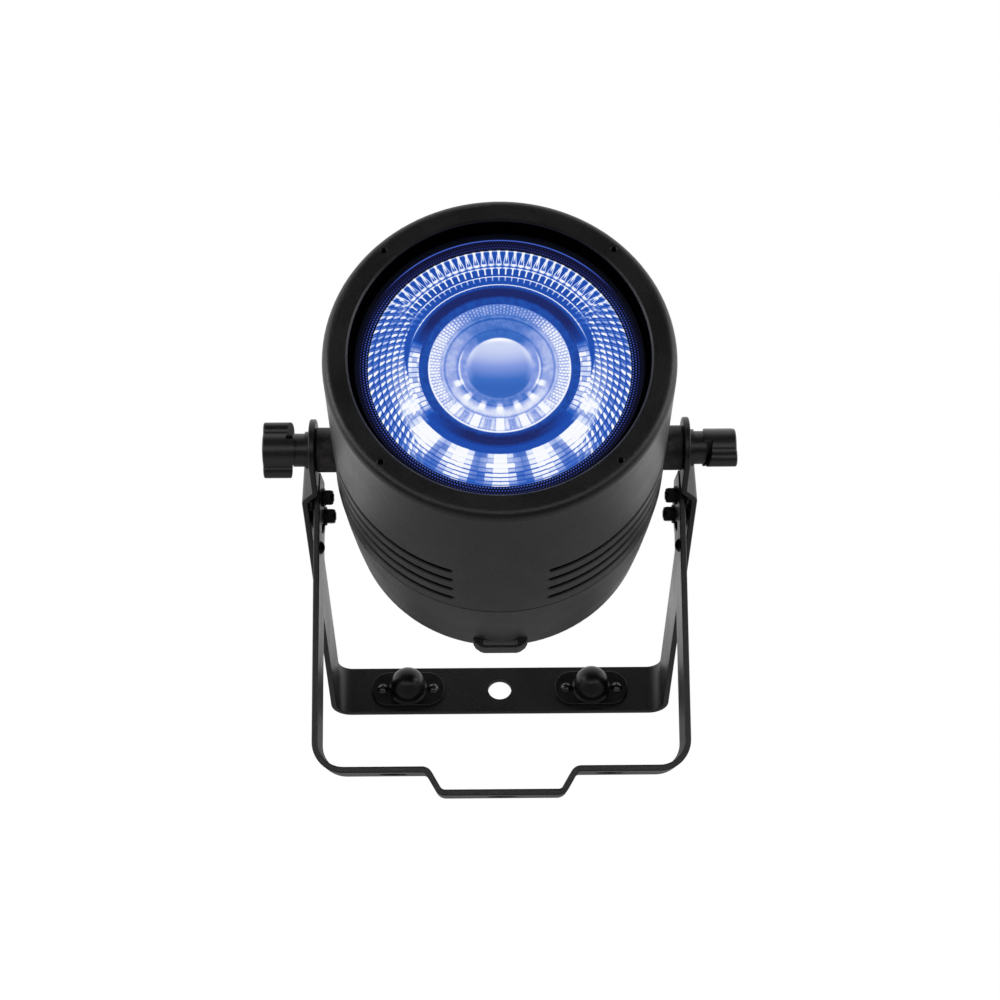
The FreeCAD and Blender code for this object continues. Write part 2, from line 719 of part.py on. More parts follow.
def centre_lens():
    """Inner lens: a flat disc with two rings and a low dome."""
    top = OPTIC_S + 0.9
    body = turned([(top, 0.0), (top, DOME_LENS_R), (top + 1.0, DOME_LENS_R + 0.6), (top + 1.0, 24.4),
                   (top + 0.4, 25.0), (top + 0.4, CENTRE_LENS_R), (OPTIC_S + 5,
                                                                   CENTRE_LENS_R), (OPTIC_S + 5, 0.0)])
    return tilt_head(body)


def reflector():
    """Deep bowl between the LED and the optic."""
    start = REFLECTOR_S
    return tilt_head(turned([(start, 57), (start, 58.5), (start + 12, 50), (start + 25.8, 18),
                             (start + 25.8, 14.5), (start + 25, 14.5), (start + 11, 48.5)]))


def led_board():
    board = slab(0, 0, LED_BOARD_W, LED_BOARD_W, LED_S, LED_S + BOARD_T, 3)
    return tilt_head(board.cut(ring(LED_S - 1, LED_S + 3, 1.7, 0, 18, 18)))


def led_emitter():
    """Round chip-on-board emitter with its low dome."""
    return tilt_head(turned([(LED_S, 0), (LED_S, 13), (LED_S - 0.8, 13), (LED_S - 0.8, 11), (LED_S - 1.2, 8),
                             (LED_S - 1.5, 0)]))


def heat_sink():
    """Extruded sink: a disc with parallel fins behind it."""
    start = LED_S + BOARD_T
    fins = [ring(start, start + SINK_BASE_T, SINK_R)]
    for index in range(FINS):
        x = (index - FINS // 2) * FIN_PITCH
        reach = 2 * math.sqrt((SINK_R - 1.5) ** 2 - x * x)
        fins.append(slab(x, 0, FIN_T, reach, start + SINK_BASE_T - 0.5, start + SINK_DEPTH))
    return tilt_head(joined(fins))


# ---- fan ----

def fan_frame():
    frame = slab(0, 0, FAN_SIZE, FAN_SIZE, FAN_S, FAN_S + FAN_T, 5)
    frame = frame.cut(ring(FAN_S - 1, FAN_S + FAN_T + 1, FAN_BORE_R))
    hub = ring(FAN_S + FAN_T - 4, FAN_S + FAN_T, HUB_R + 2)
    pieces = [frame, hub]
    for index in range(4):
        strut = slab((HUB_R + FAN_BORE_R) / 2, 0, FAN_BORE_R - HUB_R + 2, 4, FAN_S + FAN_T - 3.5,
                     FAN_S + FAN_T - 0.5)
        strut.rotate(ORIGIN, Y_AXIS, 45 + 90 * index)
        pieces.append(strut)
    body = joined(pieces)
    holes = [ring(FAN_S - 1, FAN_S + FAN_T + 1, 2.2, 0, x * FAN_SCREW_OUT, z * FAN_SCREW_OUT)
             for x in (-1, 1) for z in (-1, 1)]
    return tilt_head(body.cut(holes))


def fan_screws():
    screws = []
    for x in (-1, 1):
        for z in (-1, 1):
            shank = ring(FAN_S - 2, FAN_S + FAN_T, 2.0, 0, x * FAN_SCREW_OUT, z * FAN_SCREW_OUT)
            head = ring(FAN_S + FAN_T, FAN_S + FAN_T + 2, 3.6, 0, x * FAN_SCREW_OUT, z * FAN_SCREW_OUT)
            screws.append(joined([shank, head]))
    return tilt_head(group(screws))


def fan_rotor():
    """Hub with swept blades, ahead of the frame's struts."""
    start = FAN_S + 2
    end = FAN_S + FAN_T - 5
    sweep = ring(start, end, ROTOR_R, HUB_R - 1)
    pieces = [ring(start, end, HUB_R, HUB_R - 2), ring(start, start + 1.5, HUB_R)]
    for index in range(BLADES):
        blade = Part.makeBox(1.6, 34, 34, vec(-0.8, -17, HUB_R - 1.5))
        blade.rotate(vec(0, 0, 0), Z_AXIS, 42)
        blade.translate(vec(0, behind((start + end) / 2), 0))
        blade.rotate(ORIGIN, Y_AXIS, 360.0 / BLADES * index)
        pieces.append(blade.common(sweep))
    return tilt_head(joined(pieces))


# ---- electronics ----

def driver_tray():
    """Sheet across the rear shell that carries the driver board."""
    disc = ring(TRAY_S, TRAY_S + TRAY_T, TRAY_R)
    vents = [slab(x, 0, 5, 60, TRAY_S - 1, TRAY_S + TRAY_T + 1, 2) for x in (-50, -40, 40, 50)]
    return tilt_head(disc.cut(vents))


def standoffs():
    start = TRAY_S + TRAY_T
    pillars = [ring(start, start + STANDOFF_H, 2.8, 0, x, z)
               for x in (-STANDOFF_X, STANDOFF_X) for z in (-STANDOFF_Z, STANDOFF_Z)]
    return tilt_head(group(pillars))


def driver_board():
    """Power supply board with its larger components."""
    start = TRAY_S + TRAY_T + STANDOFF_H
    board = slab(0, 0, 64, 84, start, start + BOARD_T, 2)
    parts = [board, slab(-12, 24, 26, 22, start + 1.5, start + 15, 1), ring(start + 1.5, start + 16, 7, 0,
                                                                            18, 26),
             ring(start + 1.5, start + 16, 7, 0, 18, 8), slab(-10, -26, 30, 10, start + 1.5, start + 13, 1)]
    return tilt_head(joined(parts))


def control_board():
    start = PANEL_S - 9.0
    return tilt_head(slab(0, 31, 62, 34, start, start + BOARD_T, 1))


def display_module():
    start = PANEL_S - 7.4
    return tilt_head(slab(0, DISPLAY_Z, DISPLAY_W + 2, DISPLAY_H + 2, start, PANEL_S, 1))


def display_window():
    return tilt_head(slab(0, DISPLAY_Z, DISPLAY_W, DISPLAY_H, PANEL_S, PANEL_S + PANEL_T + 0.4, 1.5))


def button_x(index):
    return (index - (len(BUTTON_NAMES) - 1) / 2) * BUTTON_PITCH


def panel_screw_places():
    return [(PANEL_SCREW_PCR * math.cos(math.radians(angle)),
             PANEL_SCREW_PCR * math.sin(math.radians(angle)))
            for angle in PANEL_SCREW_ANGLES]


def rear_panel():
    disc = ring(PANEL_S, PANEL_S + PANEL_T, PANEL_R)
    cuts = [slab(0, DISPLAY_Z, DISPLAY_W, DISPLAY_H, PANEL_S - 1, PANEL_S + PANEL_T + 1, 1.5)]
    for index in range(len(BUTTON_NAMES)):
        cuts.append(ring(PANEL_S - 1, PANEL_S + PANEL_T + 1, BUTTON_R + 0.3, 0, button_x(index), BUTTON_Z))
    for x, z in CONNECTOR_PLACES.values():
        cuts.append(ring(PANEL_S - 1, PANEL_S + PANEL_T + 1, CONNECTOR_R + 0.1, 0, x, z))
        cuts += [ring(PANEL_S - 1, PANEL_S + PANEL_T + 1, 1.5, 0, x + dx, z + dz) for dx,
                 dz in CORNER_SCREWS]
    cuts += [ring(PANEL_S - 1, PANEL_S + PANEL_T + 1, 1.6, 0, x, z) for x, z in panel_screw_places()]
    latch_x, latch_z = CONNECTOR_PLACES["dmx_out"]
    cuts.append(slab(latch_x, latch_z + LATCH_Z, 7.6, 5.6, PANEL_S - 1, PANEL_S + PANEL_T + 1))
    return tilt_head(disc.cut(cuts))


def panel_screws():
    start = PANEL_S + PANEL_T
    screws = []
    for x, z in panel_screw_places():
        shank = ring(PANEL_S, start, 1.5, 0, x, z)
        head = ring(start, start + 1.6, 2.8, 0, x, z).cut(slab(x, z, 4, 0.8, start + 0.8, start + 3))
        screws.append(joined([shank, head]))
    return tilt_head(group(screws))


def button(index):
    """Round cap that slides through the panel, with a collar behind it."""
    x = button_x(index)
    end = PANEL_S + PANEL_T + BUTTON_PROUD
    cap = ring(PANEL_S - 1.4, end, BUTTON_R, 0, x, BUTTON_Z)
    cap = rounded(cap, 0.6, lambda edge: isinstance(edge.Curve, Part.Circle)
                  and abs(edge.Curve.Center.y - behind(end)) < 0.01)
    collar = ring(PANEL_S - 1.4, PANEL_S - 0.1, BUTTON_R + 0.9, 0, x, BUTTON_Z)
    stem = ring(PANEL_S - 5.6, PANEL_S - 1.2, 1.4, 0, x, BUTTON_Z)
    return tilt_head(joined([cap, collar, stem]))


# ---- connectors ----

def connector_shell(x, z):
    """Flange on the panel, round body through it and a block of tags behind."""
    face = PANEL_S + PANEL_T
    flange = slab(x, z, 26, 31, face, face + CONNECTOR_FLANGE_T, 3)
    barrel = ring(PANEL_S - BACK_LENGTH, face + 1, CONNECTOR_R, 0, x, z)
    body = joined([flange, barrel])
    return body.cut([ring(face - 1, face + 4, 1.6, 0, x + dx, z + dz) for dx, dz in CORNER_SCREWS])


def dmx_in():
    """Three-pin male socket: a round well with room for the pins."""
    x, z = CONNECTOR_PLACES["dmx_in"]
    face = PANEL_S + PANEL_T + CONNECTOR_FLANGE_T
    return tilt_head(connector_shell(x, z).cut(ring(face - SOCKET_DEPTH, face + 1, DMX_WELL_R, 0, x, z)))


def dmx_in_pins():
    x, z = CONNECTOR_PLACES["dmx_in"]
    face = PANEL_S + PANEL_T + CONNECTOR_FLANGE_T
    pins = []
    for angle in PIN_ANGLES:
        turn = math.radians(angle)
        pin_x = x + PIN_CIRCLE_R * math.cos(turn)
        pin_z = z + PIN_CIRCLE_R * math.sin(turn)
        pins.append(ring(face - SOCKET_DEPTH, face - 2, 1.2, 0, pin_x, pin_z))
    return tilt_head(group(pins))


def dmx_out():
    """Three-pole female socket with a round groove, three contact holes and a latch slot."""
    x, z = CONNECTOR_PLACES["dmx_out"]
    face = PANEL_S + PANEL_T + CONNECTOR_FLANGE_T
    cuts = [ring(face - 4, face + 1, DMX_WELL_R, 8.0, x, z), slab(x, z + LATCH_Z, 7.4, 5.4, face - 4,
                                                                  face + 1)]
    for angle in PIN_ANGLES:
        turn = math.radians(angle)
        hole_x = x + PIN_CIRCLE_R * math.cos(turn)
        hole_z = z + PIN_CIRCLE_R * math.sin(turn)
        cuts.append(ring(face - 4, face + 1, 1.4, 0, hole_x, hole_z))
    return tilt_head(connector_shell(x, z).cut(cuts))


def dmx_out_latch():
    """Press tab that frees the plug from the female socket."""
    x, z = CONNECTOR_PLACES["dmx_out"]
    face = PANEL_S + PANEL_T + CONNECTOR_FLANGE_T
    return tilt_head(slab(x, z + LATCH_Z, 6.8, 4.8, face - 1.4, face + 1.8, 0.8))


def power_socket(name, key_angle):
    """Round twist-lock mains socket: a keyed well round a centre post."""
    x, z = CONNECTOR_PLACES[name]
    face = PANEL_S + PANEL_T + CONNECTOR_FLANGE_T
    well = ring(face - SOCKET_DEPTH, face + 1, 9.6, 5.2, x, z)
    keyway = slab(x, z + 10.0, 3.2, 3.0, face - SOCKET_DEPTH, face + 1)
    keyway.rotate(vec(x, 0, z), Y_AXIS, key_angle)
    return tilt_head(connector_shell(x, z).cut([well, keyway]))


def connector_screws():
    face = PANEL_S + PANEL_T + CONNECTOR_FLANGE_T
    screws = []
    for x, z in CONNECTOR_PLACES.values():
        for dx, dz in CORNER_SCREWS:
            shank = ring(PANEL_S - 2, face, 1.5, 0, x + dx, z + dz)
            head = ring(face, face + 1.2, 2.6, 0, x + dx, z + dz)
            head = head.cut(slab(x + dx, z + dz, 3.6, 0.7, face + 0.5, face + 2))
            screws.append(joined([shank, head]))
    return tilt_head(group(screws))


# ---- knobs, drawn on the +X side with the wings upright ----

def wing_cut(corners):
    """Wedge cut from both wings of a knob: a triangle in the XY plane, swept over the wings' height."""
    pieces = []
    for side in (-1, 1):
        points = [vec(x, side * y, side * KNOB_HUB_R * 0.55) for x, y in corners]
        face = Part.Face(Part.makePolygon(points + points[:1]))
        pieces.append(face.extrude(vec(0, 0, side * KNOB_TIP_R)))
    return pieces


def tip_cut():
    """Plane cut across the outer corner of each wing tip, on its near flank only."""
    pieces = []
    for side in (-1, 1):
        low = KNOB_TIP_R - KNOB_TIP_CUT
        corner = vec(KNOB_END_X + 2, side * -9, side * (KNOB_TIP_R + 2))
        along = vec(KNOB_END_X - KNOB_TIP_CUT - 3, side * -9, side * (KNOB_TIP_R + 2))
        down = vec(KNOB_END_X + 2, side * -9, side * (low - 3))
        back = vec(KNOB_END_X + 2, side * 2.5, side * (KNOB_TIP_R + 2))
        faces = [Part.Face(Part.makePolygon(points + points[:1]))
                 for points in ([corner, along, down], [corner, along, back], [corner, down, back],
                                [along, down, back])]
        pieces.append(Part.makeSolid(Part.makeShell(faces)))
    return pieces


def knob():
    """Clamp knob: a round stem, a hub and two wings whose inner faces slant round the axis."""
    wing_reach = KNOB_TIP_R - KNOB_WING_R
    hub = across(KNOB_HUB_R, KNOB_START_X, KNOB_END_X)
    tips = [across(KNOB_WING_R, KNOB_START_X, KNOB_END_X, 0, side * wing_reach) for side in (-1, 1)]
    body = joined([hub] + tips)
    body = body.makeFillet(1.8, [edge for edge in body.Edges if abs(edge.BoundBox.XLength - KNOB_END_X
                                                                    + KNOB_START_X) < 0.01
                                 and 3.0 < abs(edge.BoundBox.ZMin) < 12.0 and edge.BoundBox.ZLength < 0.01])
    reach = KNOB_HUB_R + 1
    body = body.cut(wing_cut([(KNOB_START_X - 1, -reach), (KNOB_START_X - 0.5, -reach),
                              (KNOB_START_X + KNOB_UNDERCUT, reach), (KNOB_START_X - 1, reach)]))
    body = body.cut(tip_cut())
    body = rounded(body, 0.9, lambda edge: abs(edge.BoundBox.XMin - KNOB_END_X) < 0.01
                   and edge.BoundBox.XLength < 0.01)
    stem = across(STEM_R, STEM_START_X, KNOB_START_X + 1)
    return joined([body, stem])


def knob_stud():
    return across(STUD_R, STUD_START_X, KNOB_END_X - 4)


def clamp_washer():
    body = across(WASHER_R, WASHER_X, WASHER_X + WASHER_T)
    return body.cut(across(STUD_R + STUD_CLEAR, WASHER_X - 1, WASHER_X + WASHER_T + 1))


def add_pivot_hardware():
    for name, side_of, turn in (("right", as_drawn, RIGHT_KNOB_TURN), ("left", turned_about,
                                                                       LEFT_KNOB_TURN)):
        body = side_of(knob().cut(knob_stud()))
        body.rotate(ORIGIN, X_AXIS, turn - 90)
        nodes[name + "_knob"] = body
        nodes[name + "_knob_stud"] = side_of(knob_stud())
        nodes[name + "_clamp_washer"] = side_of(clamp_washer())
        nodes[name + "_boss"] = tilt_head(side_of(boss()))
    nodes["boss_nuts"] = tilt_head(group(both_sides(boss_nut())))


# ---- the whole light ----

def add_brackets():
    nodes["rear_bracket"] = rear_bracket()
    nodes["right_quick_lock"] = quick_lock(LOCK_X)
    nodes["left_quick_lock"] = quick_lock(-LOCK_X)
    nodes["quick_lock_cams"] = quick_lock_cams()
    nodes["quick_lock_rivets"] = quick_lock_rivets()
    nodes["leg_screws"] = leg_stack(leg_screw)
    nodes["leg_nuts"] = leg_stack(leg_nut)
    nodes["leg_tooth_washers"] = leg_stack(leg_tooth_washer)
    nodes["leg_spacers"] = leg_stack(leg_spacer)
    nodes["front_bracket"] = front_bracket()
    nodes["leg_studs"] = leg_studs()


def add_head():
    makers = [front_housing, rear_housing, safety_loop, loop_screws, front_glass, glass_gasket, optic_holder,
              facet_lens, centre_lens, reflector, led_board, led_emitter, heat_sink, fan_frame, fan_screws,
              fan_rotor, driver_tray, standoffs, driver_board, control_board, display_module, display_window,
              rear_panel, panel_screws, dmx_in, dmx_in_pins, dmx_out, dmx_out_latch, connector_screws]
    for maker in makers:
        nodes[maker.__name__] = maker()
    nodes["power_in"] = power_socket("power_in", 30)
    nodes["power_out"] = power_socket("power_out", -30)
    for index, name in enumerate(BUTTON_NAMES):
        nodes[name] = button(index)


def set_down():
    """Centre the standing light's bounding box on Z and put its feet on the floor."""
    box = FreeCAD.BoundBox()
    for shape in nodes.values():
        box.add(shape.optimalBoundingBox(False, False))
    shift = vec(0, -(box.YMin + box.YMax) / 2, -box.ZMin)
    for shape in nodes.values():
        shape.translate(shift)
    return shift


add_brackets()
add_head()
add_pivot_hardware()
pivot = set_down()
os.makedirs("parts", exist_ok=True)
for name, shape in nodes.items():
    shape.exportStep("parts/" + name + ".step")
print("tilt axis at y", round(pivot.y, 3), "z", round(pivot.z, 3), "with", len(nodes), "nodes")
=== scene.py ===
import json
import math

import bmesh
import bpy
from mathutils import Matrix, Vector


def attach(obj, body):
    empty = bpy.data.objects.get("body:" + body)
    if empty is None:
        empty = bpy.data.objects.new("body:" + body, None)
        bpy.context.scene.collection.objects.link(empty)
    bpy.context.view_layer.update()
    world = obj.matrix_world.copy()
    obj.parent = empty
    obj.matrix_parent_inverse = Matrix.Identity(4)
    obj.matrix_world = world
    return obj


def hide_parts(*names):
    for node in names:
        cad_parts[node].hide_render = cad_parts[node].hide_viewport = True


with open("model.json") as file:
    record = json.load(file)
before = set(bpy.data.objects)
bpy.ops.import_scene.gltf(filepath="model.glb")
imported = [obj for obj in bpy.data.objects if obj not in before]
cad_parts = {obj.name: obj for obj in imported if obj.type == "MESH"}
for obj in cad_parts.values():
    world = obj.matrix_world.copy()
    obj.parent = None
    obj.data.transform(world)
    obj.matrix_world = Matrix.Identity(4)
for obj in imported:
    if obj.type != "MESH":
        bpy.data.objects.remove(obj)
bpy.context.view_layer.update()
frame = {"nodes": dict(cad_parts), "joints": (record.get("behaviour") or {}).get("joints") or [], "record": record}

MM = 0.001

# The head's own frame: X across, Y from the bezel face to the back, Z up, turned by the tilt.
JOINTS = {joint["name"]: joint for joint in frame["joints"]}
PIVOT = Vector(JOINTS["head_tilt"]["pos_m"])
LIGHT_AXIS = Vector(JOINTS["fan_spin"]["axis"])
TILT = math.atan2(LIGHT_AXIS.z, -LIGHT_AXIS.y)
HEAD_TO_ROW = Matrix.Translation(PIVOT) @ Matrix.Rotation(-TILT, 4, "X")
ROW_TO_HEAD = HEAD_TO_ROW.inverted()


def head_span(node):
    """Lowest and highest point of a CAD node in the head's own frame, in metres."""
    points = [ROW_TO_HEAD @ vertex.co for vertex in frame["nodes"][node].data.vertices]
    low = Vector([min(point[axis] for point in points) for axis in range(3)])
    high = Vector([max(point[axis] for point in points) for axis in range(3)])
    return low, high


FACE_Y = head_span("front_housing")[0].y
OPTIC_FRONT_Y = head_span("facet_lens")[0].y
OPTIC_BACK_Y = head_span("facet_lens")[1].y
PANE_BACK_Y = head_span("front_glass")[1].y

# Front shell, in millimetres: radius at the bezel face, widening for each millimetre behind it,
# the recess in front of the pane, and where the vent grooves are
FACE_R = 78.0
SHELL_DRAFT = 2.3 / 113.0
RECESS_R = 67.15
RECESS_DEPTH = 20.5
GROOVES = (60, 110)

# Optic, radii in millimetres from the light axis
BORDER_OUTER_R = 66.2
FACET_OUTER_R = 58.4
FACET_INNER_R = 36.0
CENTRE_R = 31.9
OUTER_RING_R = 24.4
INNER_RING_R = 18.9
DOME_R = 15.1
FACET_COLUMNS = 96
FACET_ROWS = 7
RIB_COLUMNS = 120
SPOKE_STEP = 22.5

# Optic, heights and thicknesses in metres
BOWL_RIM = 0.0004
BOWL_RISE = 0.0012
FACET_RISE = 0.00035
FACET_INSET = 0.24
RIDGE_DIP = 0.0001
RIDGE_HALF = 0.7
RIDGE_DEPTH = 0.0005
DOME_CROWN = 0.0016
DOME_STEPS = 10
BORDER_INSET = 0.0004
BORDER_THICK = 0.0003


def srgb(red, green, blue):
    """Linear colour from the 0 to 255 values that a screen shows."""
    channels = [value / 255 for value in (red, green, blue)]
    return tuple(c / 12.92 if c <= 0.04045 else ((c + 0.055) / 1.055) ** 2.4 for c in channels) + (1.0,)


# ---- arithmetic for material patterns ----

class Field:
    """A number that varies over a surface, so that a pattern can be written as arithmetic."""

    def __init__(self, socket):
        self.socket = socket
        self.tree = socket.id_data

    def math(self, operation, *others, clamp=False):
        node = self.tree.nodes.new("ShaderNodeMath")
        node.operation = operation
        node.use_clamp = clamp
        for socket, value in zip(node.inputs, (self,) + others):
            if isinstance(value, Field):
                self.tree.links.new(value.socket, socket)
            else:
                socket.default_value = value
        return Field(node.outputs[0])

    def __add__(self, other):
        return self.math("ADD", other)

    def __sub__(self, other):
        return self.math("SUBTRACT", other)

    def __mul__(self, other):
        return self.math("MULTIPLY", other)

    def __truediv__(self, other):
        return self.math("DIVIDE", other)

    def flipped(self):
        """One minus this."""
        return (self * -1.0) + 1.0

    def whole(self):
        return self.math("FLOOR")

    def fraction(self):
        return self.math("FRACT")

    def size(self):
        return self.math("ABSOLUTE")

    def limited(self):
        return self.math("ADD", 0.0, clamp=True)

    def larger(self, other):
        return self.math("MAXIMUM", other)

    def ramp(self, start, end, low=0.0, high=1.0):
        """Smooth step from low to high as this goes from start to end."""
        node = self.tree.nodes.new("ShaderNodeMapRange")
        node.interpolation_type = "SMOOTHSTEP"
        self.tree.links.new(self.socket, node.inputs["Value"])
        for name, value in (("From Min", start), ("From Max", end), ("To Min", low), ("To Max", high)):
            node.inputs[name].default_value = value
        return Field(node.outputs["Result"])

    def bump_at(self, centre, half_width):
        """One at the centre, falling smoothly to zero at half_width either side."""
        return (self - centre).size().ramp(0.0, half_width, 1.0, 0.0)

    def band(self, low, high, soft):
        """One between low and high, zero outside, with soft edges."""
        return self.ramp(low - soft, low + soft) * self.ramp(high - soft, high + soft, 1.0, 0.0)

    def mixed(self, other, amount):
        """This where amount is 0, the other, a number or a field, where it is 1."""
        return self + (self * -1.0 + other) * amount


def new_material(name):
    material = bpy.data.materials.new(name)
    material.use_nodes = True
    return material, material.node_tree, material.node_tree.nodes["Principled BSDF"]


def row_position(tree):
    return tree.nodes.new("ShaderNodeTexCoord").outputs["Object"]


def split(tree, vector, scale=1000.0):
    """X, Y and Z of a vector as fields, in millimetres by default."""
    node = tree.nodes.new("ShaderNodeSeparateXYZ")
    tree.links.new(vector, node.inputs[0])
    return [Field(socket) * scale for socket in node.outputs]


def head_position(tree):
    """Position in the head's own frame."""
    turn = tree.nodes.new("ShaderNodeVectorRotate")
    turn.rotation_type = "X_AXIS"
    turn.inputs["Center"].default_value = PIVOT
    turn.inputs["Angle"].default_value = TILT
    tree.links.new(row_position(tree), turn.inputs["Vector"])
    shift = tree.nodes.new("ShaderNodeVectorMath")
    shift.operation = "SUBTRACT"
    shift.inputs[1].default_value = PIVOT
    tree.links.new(turn.outputs["Vector"], shift.inputs[0])
    return shift.outputs["Vector"]


def round_light_axis(tree):
    """Radius in millimetres and angle in degrees from straight down, round the light axis."""
    x, _, z = split(tree, head_position(tree))
    radius = (x * x + z * z).math("SQRT")
    angle = x.math("ARCTAN2", z * -1.0) * (180 / math.pi)
    return radius, angle


def noise(tree, vector, scale, detail=3.0, roughness=0.55):
    node = tree.nodes.new("ShaderNodeTexNoise")
    node.inputs["Scale"].default_value = scale
    node.inputs["Detail"].default_value = detail
    node.inputs["Roughness"].default_value = roughness
    tree.links.new(vector, node.inputs["Vector"])
    return Field(node.outputs["Fac"])


def cell_noise(tree, first, second):
    """A steady random number from 0 to 1 for each pair of whole numbers."""
    joined = tree.nodes.new("ShaderNodeCombineXYZ")
    tree.links.new(first.socket, joined.inputs[0])
    tree.links.new(second.socket, joined.inputs[1])
    node = tree.nodes.new("ShaderNodeTexWhiteNoise")
    node.noise_dimensions = "2D"
    tree.links.new(joined.outputs[0], node.inputs["Vector"])
    return Field(node.outputs["Value"])


def coloured(tree, amount, stops):
    """Colour socket that runs through the stops (place, colour) as amount goes from 0 to 1."""
    node = tree.nodes.new("ShaderNodeValToRGB")
    elements = node.color_ramp.elements
    while len(elements) < len(stops):
        elements.new(1.0)
    for element, (place, colour) in zip(elements, stops):
        element.position = place
        element.color = colour
    tree.links.new(amount.socket, node.inputs[0])
    return node.outputs["Color"]


def bumped(tree, shader, height, distance):
    """Surface relief from a height field; the distance is in metres."""
    node = tree.nodes.new("ShaderNodeBump")
    node.inputs["Strength"].default_value = 1.0
    node.inputs["Distance"].default_value = distance
    tree.links.new(height.socket, node.inputs["Height"])
    tree.links.new(node.outputs["Normal"], shader.inputs["Normal"])


# ---- surface finishes ----

COAT_GRAIN = 1500.0
COAT_RELIEF = 0.00012
DRAWN_LINES = (900.0, 900.0, 60.0)


def grained(name, dark, light, rough, grain=COAT_GRAIN, relief=COAT_RELIEF, gloss=0.35):
    """Coat or moulding with a fine grain: colour, roughness and relief all vary a little."""
    material, tree, shader = new_material(name)
    place = row_position(tree)
    fine = noise(tree, place, grain, 2.0, 0.6)
    broad = noise(tree, place, 45.0, 3.0, 0.5)
    tone = (fine * 0.55 + broad * 0.45).ramp(0.3, 0.7)
    tree.links.new(coloured(tree, tone, [(0.0, dark), (1.0, light)]), shader.inputs["Base Color"])
    tree.links.new((fine.ramp(0.3, 0.7, rough - 0.06, rough + 0.06)
                    + broad.ramp(0.3, 0.7, -0.03, 0.03)).socket, shader.inputs["Roughness"])
    shader.inputs["Specular IOR Level"].default_value = gloss
    bumped(tree, shader, fine, relief)
    return material


def housing_coat():
    """Black powder coat of the head; painted shade makes the recess and the sunk parts of the grooves near black,
    without sheen.
    """
    gloss = 0.5
    material = grained("housing_coat", srgb(10, 10, 11), srgb(25, 25, 26), 0.38, gloss=gloss)
    tree = material.node_tree
    shader = tree.nodes["Principled BSDF"]
    radius, _ = round_light_axis(tree)
    _, depth, _ = split(tree, head_position(tree))
    depth = depth - FACE_Y / MM
    recess = (radius.ramp(RECESS_R - 0.25, RECESS_R + 0.25, 1.0, 0.0) * depth.ramp(0.7, 1.3)
              * depth.ramp(RECESS_DEPTH - 0.5, RECESS_DEPTH + 0.5, 1.0, 0.0))
    sunk = (depth * SHELL_DRAFT + FACE_R) - radius
    # Painted shade: mask of the recess and the groove bottoms, where shadow falls
    painted_shade = recess.larger(sunk.ramp(0.35, 0.8) * depth.band(*GROOVES, 1.0))
    coat = shader.inputs["Base Color"].links[0].from_socket
    mix = tree.nodes.new("ShaderNodeMix")
    mix.data_type = "RGBA"
    tree.links.new(painted_shade.socket, mix.inputs["Factor"])
    tree.links.new(coat, mix.inputs["A"])
    # Near-black colour of the painted shade
    mix.inputs["B"].default_value = srgb(2, 2, 3)
    tree.links.new(mix.outputs["Result"], shader.inputs["Base Color"])
    tree.links.new((painted_shade * -gloss + gloss).socket, shader.inputs["Specular IOR Level"])
    return material


def mottled_casting():
    """Dark grey pivot boss with a cloudy, slightly rough surface."""
    material, tree, shader = new_material("mottled_casting")
    place = row_position(tree)
    cloud = noise(tree, place, 190.0, 4.0, 0.6)
    pits = noise(tree, place, 1500.0, 2.0, 0.5)
    tone = (cloud * 0.8 + pits * 0.2).ramp(0.34, 0.66)
    colours = [(0.0, srgb(20, 19, 20)), (0.6, srgb(48, 45, 45)), (1.0, srgb(74, 69, 69))]
    tree.links.new(coloured(tree, tone, colours), shader.inputs["Base Color"])
    tree.links.new(cloud.ramp(0.3, 0.7, 0.42, 0.62).socket, shader.inputs["Roughness"])
    shader.inputs["Specular IOR Level"].default_value = 0.3
    bumped(tree, shader, pits + cloud, 0.00012)
    return material


def plated(name, dark, light, rough, metallic=1.0):
    """Bare or plated metal with fine drawn lines."""
    material, tree, shader = new_material(name)
    mapping = tree.nodes.new("ShaderNodeMapping")
    mapping.inputs["Scale"].default_value = DRAWN_LINES
    tree.links.new(row_position(tree), mapping.inputs["Vector"])
    lines = noise(tree, mapping.outputs["Vector"], 3.0, 3.0, 0.6)
    stains = noise(tree, row_position(tree), 60.0, 3.0, 0.5)
    tone = (lines * 0.6 + stains * 0.4).ramp(0.3, 0.7)
    tree.links.new(coloured(tree, tone, [(0.0, dark), (1.0, light)]), shader.inputs["Base Color"])
    tree.links.new(lines.ramp(0.3, 0.7, rough - 0.05, rough + 0.08).socket, shader.inputs["Roughness"])
    shader.inputs["Metallic"].default_value = metallic
    bumped(tree, shader, lines, 0.00002)
    return material


def glossy_cover():
    """Shiny black moulding of the quick-lock domes, with faint dust and ripples."""
    material, tree, shader = new_material("glossy_cover")
    place = row_position(tree)
    ripple = noise(tree, place, 120.0, 2.0, 0.5)
    dust = noise(tree, place, 2400.0, 2.0, 0.7)
    tree.links.new(coloured(tree, ripple.ramp(0.3, 0.7), [(0.0, srgb(4, 4, 5)), (1.0, srgb(11, 11, 12))]),
                   shader.inputs["Base Color"])
    tree.links.new((ripple.ramp(0.3, 0.7, 0.26, 0.34) + dust.ramp(0.6, 0.75, 0.0, 0.12)).socket,
                   shader.inputs["Roughness"])
    shader.inputs["Specular IOR Level"].default_value = 0.32
    bumped(tree, shader, ripple, 0.00003)
    return material


